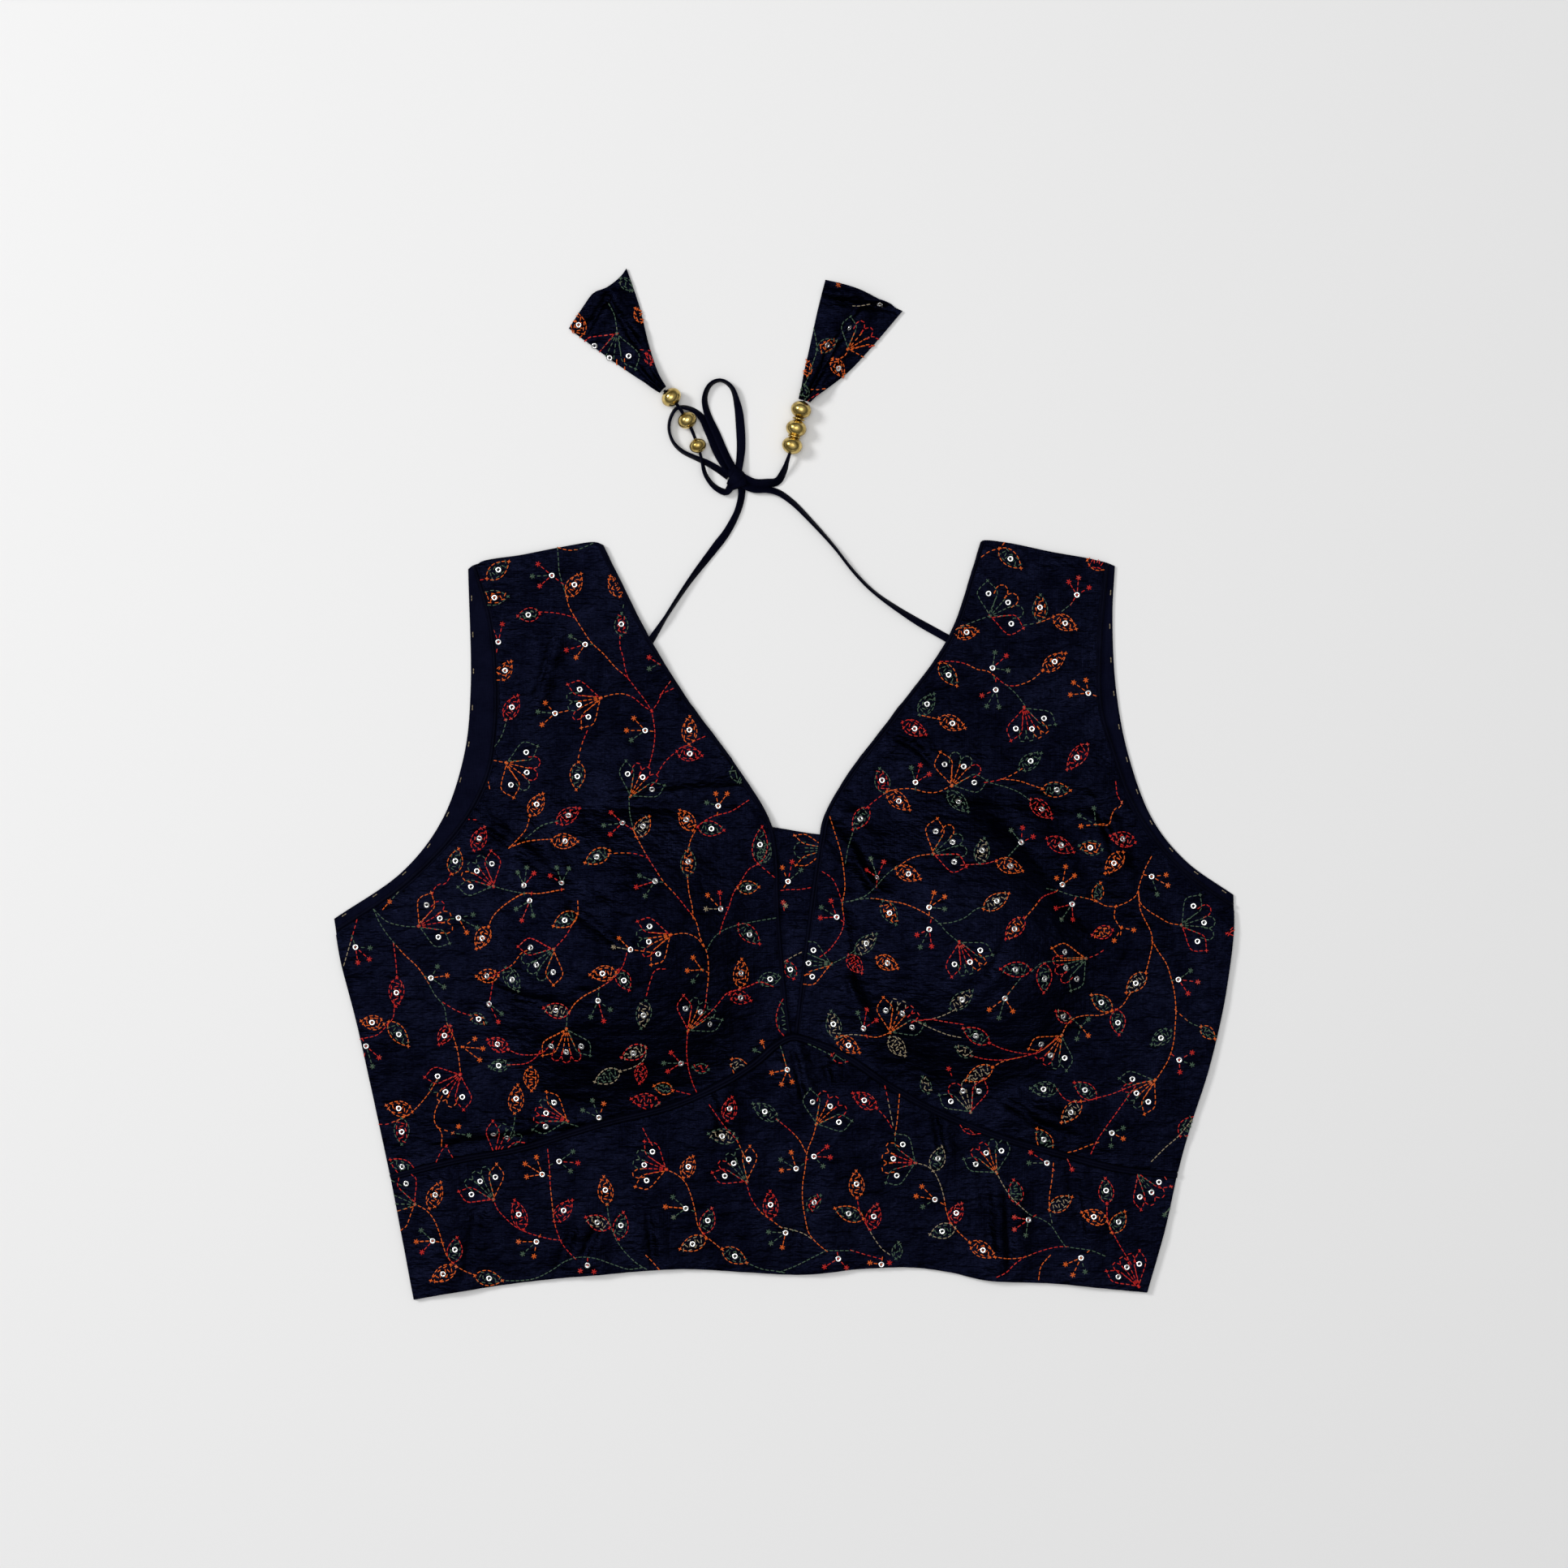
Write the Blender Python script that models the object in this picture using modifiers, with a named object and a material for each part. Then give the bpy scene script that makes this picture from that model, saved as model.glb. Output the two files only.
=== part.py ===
"""Sleeveless choli blouse laid flat with its front up, its two neck cords tied in a bow above it.

Objects are in metres. The sizes and tables below are in millimetres in the blouse's own frame:
X to the right as the front is seen, Y up towards the shoulders, Z up off the surface it lies on.
Two padded fronts lie on the back, with an inset behind their slit and a band under the bust.
"""
import math
from collections import namedtuple

import bmesh
import bpy
import numpy as np
from mathutils import Vector

MM = 0.001
COLLECTION = "choli_blouse"

# Cloth layers and trims.
GAP = 0.3
KNOT_GAP = 0.7
BACK_WALL = 1.2
INSET_WALL = 1.0
FRONT_WALL = 1.4
BAND_WALL = 1.4
TASSEL_WALL = 1.2
TRIM_WIDTH = 3.0
TRIM_HEIGHT = 2.2
UNDERARM_STEP = 1.5

# Neck cords and what hangs on them.
CORD_DIAMETER = 2.4
CORD_BORE = 3.5
BEAD_DIAMETER = 10.2
BEAD_LENGTH = 8.2
KNOT_SIZE = (8.4, 10.4, 5.4)
KNOT_CENTRE = (-23.8, 217.2)

# Heights of the undersides: each layer lies a gap above the one below it.
INSET_Z = BACK_WALL + GAP
FRONT_Z = BACK_WALL + GAP

# Where the fronts rise over the inset and over the hidden ends of the cords: how much, how far
# from the middle or the cord's end, and over what length they come down again.
INSET_LIFT = INSET_WALL + GAP + 0.1
INSET_MIDDLE_X, INSET_REACH, INSET_FADE = 6.0, 32.0, 12.0
INSET_TOP_Y, INSET_TOP_FADE = 62.0, 3.0
CORD_LIFT, CORD_REACH = 1.9, 16.0

# Mesh density in cells, the distance between a cord's points, and the points of a fine curve.
CELLS_ACROSS = 20
ARMHOLE_CELLS = 18
SIDE_CELLS = 11
BAND_CELLS = (48, 6)
INSET_CELLS = (4, 10)
PIPING_CELLS = 72
TASSEL_CELLS = (8, 10)
TRIM_SIDES = 8
CORD_STEP = 6.0
CORD_BEVEL = 2
KNOT_CELLS = (16, 8)
BACK_POINTS = {"neck": 26, "armhole": 14, "flank": 12, "hem": 14}
FINE = 300

Side = namedtuple("Side", "shoulder armhole back_armhole neck slit flank")

# Edges of each half, as rows of X, Y. Each one runs down from the shoulder, and the shoulder
# runs from the armhole to the neck.
LEFT = Side(
    shoulder=((-155.6, 172.8), (-153.0, 174.8), (-130.4, 179.2), (-106.4, 184.4), (-93.0, 186.2),
              (-89.0, 184.8)),
    armhole=((-153.4, 174.0), (-146.4, 149.4), (-143.2, 121.4), (-143.6, 93.4), (-147.4, 71.4),
             (-159.4, 48.4), (-186.4, 19.4), (-220.6, -4.0)),
    back_armhole=((-155.6, 172.8), (-154.4, 113.4), (-157.6, 81.4), (-168.4, 49.4), (-187.4, 24.4),
                  (-221.6, 0.6)),
    neck=((-89.0, 184.8), (-65.2, 137.4), (-46.4, 107.4), (-24.4, 77.4), (-5.6, 45.4)),
    slit=((-5.6, 45.4), (-2.0, 1.4), (1.4, -38.6), (3.5, -55.5)),
    flank=((-221.6, 0.6), (-218.6, -18.6), (-210.4, -50.6), (-202.4, -86.6), (-193.8, -126.6),
           (-187.6, -158.6), (-182.4, -187.0)),
)
RIGHT = Side(
    shoulder=((163.0, 174.4), (158.4, 176.2), (133.6, 181.0), (109.6, 186.0), (98.0, 187.0),
              (96.8, 186.2)),
    armhole=((159.8, 175.4), (156.4, 133.4), (156.8, 105.4), (163.6, 81.4), (171.6, 59.4),
             (185.6, 37.4), (201.6, 21.4), (221.2, 8.0)),
    back_armhole=((163.0, 174.4), (161.8, 149.4), (163.6, 113.4), (169.6, 81.4), (181.6, 49.4),
                  (198.0, 29.0), (221.4, 12.4)),
    neck=((96.8, 186.2), (80.4, 138.6), (53.6, 101.4), (29.6, 69.4), (19.4, 50.6)),
    slit=((19.4, 50.6), (17.4, 40.4), (13.4, 13.4), (8.4, -26.6), (5.0, -55.5)),
    flank=((221.4, 12.4), (221.6, -2.6), (219.6, -22.6), (215.6, -46.6), (208.8, -74.6), (199.8, -102.6),
           (193.6, -125.6), (188.0, -150.6), (178.8, -183.4)),
)

# Neck of the back, seam under the bust and hem of the band, as rows of X, Y from left to right.
BACK_NECK = ((-89.0, 184.8), (-74.2, 138.0), (-64.0, 100.0), (-55.0, 60.0), (-36.0, 22.0), (4.0, 4.0),
             (44.0, 22.0), (66.0, 60.0), (76.0, 100.0), (89.4, 138.0), (96.8, 186.2))
BUST_SEAM = ((-193.8, -126.6), (-162.4, -118.6), (-130.4, -112.6), (-90.4, -100.6), (-54.4, -91.4),
             (-30.4, -80.6), (-14.4, -70.6), (-3.4, -61.2), (4.2, -57.6), (13.0, -59.6), (29.6, -66.6),
             (53.6, -82.6), (77.6, -95.4), (105.6, -106.6), (133.6, -114.6), (165.6, -122.6),
             (193.6, -125.6))
HEM = ((-182.4, -187.0), (-162.4, -183.4), (-130.4, -178.6), (-90.4, -174.6), (-50.4, -171.8),
       (-18.4, -173.4), (9.6, -174.6), (37.6, -171.8), (61.6, -171.0), (81.6, -173.4), (99.6, -177.4),
       (133.6, -179.0), (161.6, -181.8), (178.8, -183.4))
INSET_EDGES = {"left": ((-26.0, 48.2), (-16.0, 0.0), (-10.0, -53.0)),
               "right": ((38.0, 41.6), (26.0, 0.0), (17.0, -56.0)),
               "top": ((-26.0, 48.2), (-5.6, 45.8), (17.6, 42.2), (38.0, 41.6)),
               "bottom": ((-10.0, -53.0), (3.0, -55.0), (17.0, -56.0))}

# Padded cups: centre, reach to each side and up and down, and height of the crown.
Cup = namedtuple("Cup", "x y reach_x reach_up reach_down height")
CUPS = (Cup(-82.0, -22.0, 73.0, 92.0, 76.0, 26.0), Cup(89.0, -16.0, 69.0, 90.0, 73.0, 26.0))
CUP_CROWN, CUP_RIM = 2.6, 1.8

# Main folds: from one point to the other, half its width, and its height, or depth if negative.
Fold = namedtuple("Fold", "x0 y0 x1 y1 width height")
FRONT_FOLDS = (
    Fold(-113.0, 140.0, -122.0, 110.0, 6.0, 2.2),
    Fold(-148.0, 43.0, -124.0, 29.0, 7.0, 3.0),
    Fold(-103.0, 8.0, -80.0, -14.0, 5.0, -2.0),
    Fold(-132.0, -30.0, -104.0, -42.0, 6.0, -2.2),
    Fold(-176.0, -92.0, -130.0, -104.0, 8.0, 2.4),
    Fold(54.0, 88.0, 72.0, 74.0, 6.0, 2.0),
    Fold(34.0, 50.0, 46.0, 26.0, 6.0, 2.0),
    Fold(166.0, 26.0, 150.0, 52.0, 7.0, 2.8),
    Fold(158.0, 30.0, 184.0, -4.0, 8.0, 2.6),
    Fold(112.0, -96.0, 148.0, -104.0, 7.0, 2.6),
)
BAND_FOLDS = (
    Fold(-166.0, -124.0, -160.0, -180.0, 9.0, 1.6),
    Fold(-104.0, -150.0, -92.0, -172.0, 8.0, 1.8),
    Fold(-64.0, -102.0, -68.0, -168.0, 10.0, 1.4),
    Fold(-30.0, -90.0, -44.0, -110.0, 6.0, 1.4),
    Fold(4.0, -66.0, 7.0, -92.0, 5.0, 2.2),
    Fold(28.0, -80.0, 20.0, -168.0, 11.0, 1.4),
    Fold(77.0, -102.0, 74.0, -126.0, 6.0, 1.6),
    Fold(110.0, -136.0, 104.0, -172.0, 8.0, 2.2),
    Fold(160.0, -130.0, 150.0, -176.0, 10.0, 1.8),
)

# Routes of the neck cords, as rows of X, Y and height of the centre.
CORD_ROUTES = {
    "cord_left": ((-70.2, 131.2, 1.3), (-65.6, 137.8, 1.3), (-47.6, 165.4, 1.3), (-34.0, 183.4, 1.3),
                  (-28.0, 191.4, 1.3), (-22.4, 202.6, 1.3), (-20.8, 211.0, 1.4), (-21.6, 216.0, 2.4)),
    "cord_right": ((86.4, 135.2, 1.3), (80.0, 139.0, 1.3), (62.4, 149.0, 1.3), (44.4, 161.4, 1.3),
                   (34.8, 171.0, 1.3), (24.0, 184.6, 1.3), (12.8, 197.0, 1.3), (4.0, 205.8, 1.3),
                   (-3.0, 210.6, 1.3), (-8.6, 212.0, 1.3), (-14.6, 212.2, 1.4), (-21.6, 215.0, 2.4)),
    "loop_tall": ((-24.4, 221.0, 2.4), (-28.0, 227.4, 1.3), (-33.4, 239.4, 1.3), (-38.0, 250.2, 1.3),
                  (-39.0, 257.6, 1.3), (-36.2, 263.8, 1.3), (-31.2, 265.8, 1.3), (-26.0, 262.6, 1.3),
                  (-22.8, 253.4, 1.3), (-21.4, 241.4, 1.3), (-21.2, 231.4, 1.3), (-22.4, 221.0, 2.4)),
    "loop_side": ((-26.8, 220.2, 2.4), (-31.6, 227.6, 1.3), (-36.8, 239.6, 1.3), (-41.0, 248.0, 1.3),
                  (-46.4, 251.8, 1.3), (-52.4, 252.2, 1.3), (-55.8, 247.4, 1.3), (-56.6, 241.4, 1.3),
                  (-54.6, 235.4, 1.3), (-50.4, 231.0, 1.3), (-44.4, 228.0, 1.3), (-38.8, 225.6, 1.3),
                  (-32.8, 222.2, 1.3), (-27.4, 218.4, 2.4)),
    "tail_left": ((-25.6, 214.6, 2.4), (-28.4, 210.8, 1.4), (-34.0, 213.2, 1.5), (-38.6, 219.2, 3.0),
                  (-40.4, 226.2, 4.1), (-42.4, 233.4, 4.3), (-47.6, 245.8, 4.8), (-55.4, 257.1, 5.1),
                  (-58.9, 260.4, 5.1)),
    "tail_right": ((-21.6, 219.0, 2.4), (-14.6, 215.4, 1.4), (-8.6, 215.2, 1.3), (-3.4, 216.0, 1.3),
                   (-0.4, 220.4, 2.4), (1.8, 226.4, 4.6), (4.0, 233.4, 5.1), (6.0, 241.8, 5.1),
                   (8.4, 251.0, 5.1), (10.0, 255.1, 5.1)),
}
# Beads, by the tail that they hang on: X, Y, and size against the full bead.
Bead = namedtuple("Bead", "tail x y scale")
BEADS = (Bead("left", -42.4, 233.4, 0.82), Bead("left", -47.6, 245.8, 0.94),
         Bead("left", -55.4, 257.1, 1.0), Bead("right", 4.0, 233.4, 1.0), Bead("right", 6.0, 241.8, 1.0),
         Bead("right", 8.4, 251.0, 1.0))
BEAD_STEPS = 16
BEAD_RINGS = 9

# Cloth tassels, as rows of X, Y: their long edges run from the bead outwards, the far edge from
# left to right.
Tassel = namedtuple("Tassel", "left right far")
TASSELS = {
    "left": Tassel(
        left=((-60.8, 259.8), (-66.4, 263.0), (-80.0, 272.2), (-99.2, 286.2), (-106.0, 291.4)),
        right=((-58.4, 262.2), (-61.6, 268.6), (-66.0, 281.4), (-71.2, 302.2), (-75.2, 314.2),
               (-77.6, 321.0)),
        far=((-106.0, 291.4), (-99.2, 301.4), (-93.6, 308.6), (-87.2, 311.4), (-80.4, 317.0),
             (-77.6, 321.0))),
    "right": Tassel(
        left=((7.6, 256.2), (9.6, 268.6), (12.0, 279.4), (16.8, 301.4), (18.0, 306.2), (20.4, 315.4)),
        right=((12.8, 255.0), (21.6, 261.8), (32.4, 270.6), (43.6, 282.6), (58.4, 300.0)),
        far=((20.4, 315.4), (29.6, 313.0), (37.6, 310.2), (47.6, 305.0), (58.4, 300.0))),
}
TASSEL_ARCH, TASSEL_ARCH_LENGTH = 3.0, 20.0
TASSEL_TIP_Z, TASSEL_TIP_LENGTH = 4.2, 12.0

# Colours, roughness and metallic value.
NAVY_SILK = ((0.010, 0.014, 0.045), 0.42, 0.0)
NAVY_LINING = ((0.012, 0.014, 0.034), 0.75, 0.0)
NAVY_CORD = ((0.008, 0.009, 0.026), 0.6, 0.0)
GOLD_BEAD = ((0.55, 0.38, 0.10), 0.28, 1.0)


def smooth_path(rows, count):
    """A smooth curve through the rows, at count points equally far apart along it."""
    rows = np.array(rows, float)
    padded = np.vstack((2 * rows[0] - rows[1], rows, 2 * rows[-1] - rows[-2]))
    knots = np.concatenate(([0.0], np.cumsum(np.linalg.norm(np.diff(padded, axis=0), axis=1) ** 0.5)))
    dense = []
    for i in range(1, len(rows)):
        p0, p1, p2, p3 = padded[i - 1:i + 3]
        k0, k1, k2, k3 = knots[i - 1:i + 3]
        t = np.linspace(k1, k2, 16, endpoint=i == len(rows) - 1)[:, None]
        a1 = ((k1 - t) * p0 + (t - k0) * p1) / (k1 - k0)
        a2 = ((k2 - t) * p1 + (t - k1) * p2) / (k2 - k1)
        a3 = ((k3 - t) * p2 + (t - k2) * p3) / (k3 - k2)
        b1 = ((k2 - t) * a1 + (t - k0) * a2) / (k2 - k0)
        b2 = ((k3 - t) * a2 + (t - k1) * a3) / (k3 - k1)
        dense.append(((k2 - t) * b1 + (t - k1) * b2) / (k2 - k1))
    dense = np.vstack(dense)
    run = np.concatenate(([0.0], np.cumsum(np.linalg.norm(np.diff(dense, axis=0), axis=1))))
    wanted = np.linspace(0.0, run[-1], count)
    return np.column_stack([np.interp(wanted, run, dense[:, k]) for k in range(dense.shape[1])])


def moved_aside(path, distance):
    """The path moved sideways in XY, to its left if distance is positive."""
    along = np.gradient(path[:, :2], axis=0)
    along /= np.linalg.norm(along, axis=1)[:, None]
    return path[:, :2] + distance * np.column_stack((-along[:, 1], along[:, 0]))


def between(left, right, top, bottom):
    """Points of the patch inside four edges: rows run down, and each row runs from left to right."""
    u = np.linspace(0.0, 1.0, len(top))[None, :, None]
    v = np.linspace(0.0, 1.0, len(left))[:, None, None]
    top = top + (1 - u[0]) * (left[0] - top[0]) + u[0] * (right[0] - top[-1])
    bottom = bottom + (1 - u[0]) * (left[-1] - bottom[0]) + u[0] * (right[-1] - bottom[-1])
    corners = ((1 - u) * (1 - v) * left[0] + u * (1 - v) * right[0]
               + (1 - u) * v * left[-1] + u * v * right[-1])
    return (1 - v) * top[None] + v * bottom[None] + (1 - u) * left[:, None] + u * right[:, None] - corners


def fold_height(folds, x, y):
    """Sum of the folds at these places, each one fading out sideways and past its ends."""
    total = np.zeros_like(x)
    for fold in folds:
        along = np.array((fold.x1 - fold.x0, fold.y1 - fold.y0))
        share = ((x - fold.x0) * along[0] + (y - fold.y0) * along[1]) / (along @ along)
        share = np.clip(share, 0.0, 1.0)
        away = np.hypot(x - fold.x0 - share * along[0], y - fold.y0 - share * along[1])
        total += fold.height * np.exp(-(away / fold.width) ** 2)
    return total


def cup_height(x, y):
    """Height that the two padded cups add to the fronts."""
    total = np.zeros_like(x)
    for cup in CUPS:
        reach_y = np.where(y > cup.y, cup.reach_up, cup.reach_down)
        away = np.clip(np.hypot((x - cup.x) / cup.reach_x, (y - cup.y) / reach_y), 0.0, 1.0)
        total += cup.height * (1 - away ** CUP_CROWN) ** CUP_RIM
    return total


def front_height(x, y):
    """Underside of the fronts: on the back, over the inset and the cords' ends, with cups and folds."""
    past_inset = np.maximum(np.abs(x - INSET_MIDDLE_X) - INSET_REACH, 0.0)
    over_inset = INSET_LIFT * np.exp(-(past_inset / INSET_FADE) ** 2)
    over_inset /= 1 + np.exp((y - INSET_TOP_Y) / INSET_TOP_FADE)
    over_cords = np.zeros_like(x)
    for name in ("cord_left", "cord_right"):
        start = CORD_ROUTES[name][0]
        over_cords += CORD_LIFT * np.exp(-(np.hypot(x - start[0], y - start[1]) / CORD_REACH) ** 2)
    raised = cup_height(x, y) + fold_height(FRONT_FOLDS, x, y)
    return FRONT_Z + np.maximum(raised, 0.0) + over_inset + over_cords


def band_height(x, y):
    """Underside of the band, with its upright folds."""
    return FRONT_Z + np.maximum(fold_height(BAND_FOLDS, x, y), 0.0)


def finish(obj, look):
    """Gives the object its own material and smooth shading, and puts it in the collection."""
    colour, roughness, metallic = look
    material = bpy.data.materials.new(obj.name)
    material.use_nodes = True
    shader = material.node_tree.nodes["Principled BSDF"]
    shader.inputs["Base Color"].default_value = (*colour, 1.0)
    shader.inputs["Roughness"].default_value = roughness
    shader.inputs["Metallic"].default_value = metallic
    material.diffuse_color = (*colour, 1.0)
    obj.data.materials.append(material)
    bpy.data.collections[COLLECTION].objects.link(obj)
    if obj.type == "MESH":
        obj.data.shade_smooth()
    return obj


def sheet(name, points, height, wall, look):
    """A panel: a grid through the points at this height, thickened upwards by a Solidify modifier."""
    rows, columns = points.shape[:2]
    bm = bmesh.new()
    bmesh.ops.create_grid(bm, x_segments=columns - 1, y_segments=rows - 1, size=1.0)
    z = height(points[..., 0], points[..., 1]) if callable(height) else height
    for vert in bm.verts:
        column = round((vert.co.x + 1) / 2 * (columns - 1))
        row = round((1 - vert.co.y) / 2 * (rows - 1))
        vert.co = (*(points[row, column] * MM), z[row, column] * MM)
    mesh = bpy.data.meshes.new(name)
    bm.to_mesh(mesh)
    bm.free()
    obj = finish(bpy.data.objects.new(name, mesh), look)
    solid = obj.modifiers.new("Wall", "SOLIDIFY")
    solid.thickness = wall * MM
    solid.offset = 1.0
    return obj


def rail(name, path, look):
    """A binding or piping: an oval section swept along X, Y and underside rows of the path."""
    along = np.gradient(path[:, :2], axis=0)
    along /= np.linalg.norm(along, axis=1)[:, None]
    bm = bmesh.new()
    loops = []
    for (x, y, z), (dx, dy) in zip(path, along):
        loop = []
        for i in range(TRIM_SIDES):
            angle = 2 * math.pi * (i + 0.5) / TRIM_SIDES
            aside = TRIM_WIDTH / 2 * math.cos(angle) / math.cos(math.pi / TRIM_SIDES)
            up = TRIM_HEIGHT / 2 * (1 + math.sin(angle) / math.cos(math.pi / TRIM_SIDES))
            loop.append(bm.verts.new(((x - dy * aside) * MM, (y + dx * aside) * MM, (z + up) * MM)))
        loops.append(loop)
    for first, second in zip(loops, loops[1:]):
        for i in range(TRIM_SIDES):
            j = (i + 1) % TRIM_SIDES
            bm.faces.new((first[i], first[j], second[j], second[i]))
    bm.faces.new(loops[0][::-1])
    bm.faces.new(loops[-1])
    bmesh.ops.recalc_face_normals(bm, faces=bm.faces)
    mesh = bpy.data.meshes.new(name)
    bm.to_mesh(mesh)
    bm.free()
    return finish(bpy.data.objects.new(name, mesh), look)


def flat_piece(name, outline, z, wall, look):
    """A flat panel: its outline as a filled curve, extruded to the wall's thickness."""
    curve = bpy.data.curves.new(name, "CURVE")
    curve.dimensions = "2D"
    curve.fill_mode = "BOTH"
    curve.extrude = wall / 2 * MM
    spline = curve.splines.new("POLY")
    spline.points.add(len(outline) - 1)
    for point, (x, y) in zip(spline.points, outline):
        point.co = (x * MM, y * MM, 0.0, 1.0)
    spline.use_cyclic_u = True
    obj = bpy.data.objects.new(name, curve)
    obj.location.z = (z + wall / 2) * MM
    return finish(obj, look)


def flank_between(side, y0, y1, count):
    """Side edge between two heights, at count points."""
    edge = smooth_path(side.flank, FINE)[::-1]
    y = np.linspace(y0, y1, count)
    return np.column_stack((np.interp(y, edge[:, 1], edge[:, 0]), y))


def cut_by_x(path, x0, x1, count):
    """The stretch of a path between two X values, at count points."""
    x = np.linspace(x0, x1, count)
    return np.column_stack((x, np.interp(x, path[:, 0], path[:, 1])))


def bust_seam():
    """The seam under the bust, and the same line moved clear of its piping upwards and downwards."""
    clear = TRIM_WIDTH / 2 + GAP
    seam = smooth_path(BUST_SEAM, FINE)
    return seam, moved_aside(seam, clear), moved_aside(seam, -clear)


def make_back():
    """The back panel, flat on the surface, with its deep neck."""
    neck, hem = smooth_path(BACK_NECK, BACK_POINTS["neck"]), smooth_path(HEM, BACK_POINTS["hem"])
    flanks, armholes = BACK_POINTS["flank"], BACK_POINTS["armhole"]
    outline = [LEFT.shoulder, neck[1:-1], RIGHT.shoulder[::-1],
               smooth_path(RIGHT.back_armhole, armholes)[1:], smooth_path(RIGHT.flank, flanks)[1:],
               hem[::-1][1:-1], smooth_path(LEFT.flank, flanks)[::-1],
               smooth_path(LEFT.back_armhole, armholes)[::-1][1:-1]]
    flat_piece("back", np.vstack(outline), 0.0, BACK_WALL, NAVY_LINING)


def make_front(name, side, sign):
    """One front with its cup, and the bindings of its armhole and its neck. sign is 1 on the right."""
    inward = sign * (TRIM_WIDTH + GAP)
    armhole = smooth_path(side.armhole, ARMHOLE_CELLS + 1)
    neck = smooth_path(side.neck + side.slit[1:], ARMHOLE_CELLS + SIDE_CELLS + 1)
    seam_above = bust_seam()[1]
    lowest = seam_above[0 if sign < 0 else -1, 1]
    outer_arm = moved_aside(armhole, -inward)
    below_arm = flank_between(side, outer_arm[-1, 1] - UNDERARM_STEP, lowest, SIDE_CELLS)
    outer = np.vstack((outer_arm, below_arm))
    inner = moved_aside(neck, inward)
    shoulder = smooth_path(side.shoulder, CELLS_ACROSS + 1)
    bottom = cut_by_x(seam_above, outer[-1, 0], inner[-1, 0], CELLS_ACROSS + 1)
    if sign < 0:
        points = between(outer, inner, shoulder, bottom)
    else:
        points = between(inner, outer, shoulder[::-1], bottom[::-1])
    sheet("front_" + name, points, front_height, FRONT_WALL, NAVY_SILK)
    for trim, path, toward in (("armhole", armhole, -sign), ("neck", neck, sign)):
        middle = moved_aside(path, toward * TRIM_WIDTH / 2)
        height = front_height(middle[:, 0], middle[:, 1])
        rail("binding_" + trim + "_" + name, np.column_stack((middle, height)), NAVY_SILK)


def make_band():
    """The band under the bust, and the piping in the seam above it."""
    seam, _, seam_below = bust_seam()
    across, down = BAND_CELLS
    left = flank_between(LEFT, seam_below[0, 1], LEFT.flank[-1][1], down + 1)
    right = flank_between(RIGHT, seam_below[-1, 1], RIGHT.flank[-1][1], down + 1)
    top = cut_by_x(seam_below, left[0, 0], right[0, 0], across + 1)
    hem = cut_by_x(smooth_path(HEM, FINE), left[-1, 0], right[-1, 0], across + 1)
    sheet("band", between(left, right, top, hem), band_height, BAND_WALL, NAVY_SILK)
    path = cut_by_x(seam, seam[0, 0], seam[-1, 0], PIPING_CELLS + 1)
    height = np.maximum(front_height(path[:, 0], path[:, 1]), band_height(path[:, 0], path[:, 1]))
    rail("piping_bust", np.column_stack((path, height)), NAVY_SILK)


def make_inset():
    """The flat inset behind the slit."""
    across, down = INSET_CELLS
    left, right = smooth_path(INSET_EDGES["left"], down + 1), smooth_path(INSET_EDGES["right"], down + 1)
    top, bottom = smooth_path(INSET_EDGES["top"], across + 1), smooth_path(INSET_EDGES["bottom"], across + 1)
    points = between(left, right, top, bottom)
    sheet("inset", points, np.full(points.shape[:2], INSET_Z), INSET_WALL, NAVY_SILK)


def make_knot():
    """The bow's knot, a rounded lump that every stretch of cord meets."""
    around, rings = KNOT_CELLS
    bpy.ops.mesh.primitive_uv_sphere_add(segments=around, ring_count=rings, radius=0.5 * MM)
    knot = bpy.context.object
    knot.name = "knot"
    bpy.context.collection.objects.unlink(knot)
    for vert in knot.data.vertices:
        vert.co = [length * size for length, size in zip(vert.co, KNOT_SIZE)]
    knot.location = (KNOT_CENTRE[0] * MM, KNOT_CENTRE[1] * MM, KNOT_SIZE[2] / 2 * MM)
    finish(knot, NAVY_CORD)


def make_cord(name, route):
    """A tube along the route, cut off where it meets the knot."""
    path = smooth_path(route, FINE)
    reach = np.array(KNOT_SIZE) / 2
    centre = np.array((*KNOT_CENTRE, reach[2]))
    path = path[np.linalg.norm((path - centre) / (reach + KNOT_GAP), axis=1) > 1.0]
    length = np.linalg.norm(np.diff(path, axis=0), axis=1).sum()
    picked = path[np.linspace(0, len(path) - 1, round(length / CORD_STEP) + 1).astype(int)]
    curve = bpy.data.curves.new(name, "CURVE")
    curve.dimensions = "3D"
    curve.bevel_depth = CORD_DIAMETER / 2 * MM
    curve.bevel_resolution = CORD_BEVEL
    curve.use_fill_caps = True
    spline = curve.splines.new("POLY")
    spline.points.add(len(picked) - 1)
    for point, place in zip(spline.points, picked):
        point.co = (*(place * MM), 1.0)
    finish(bpy.data.objects.new(name, curve), NAVY_CORD)


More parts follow.
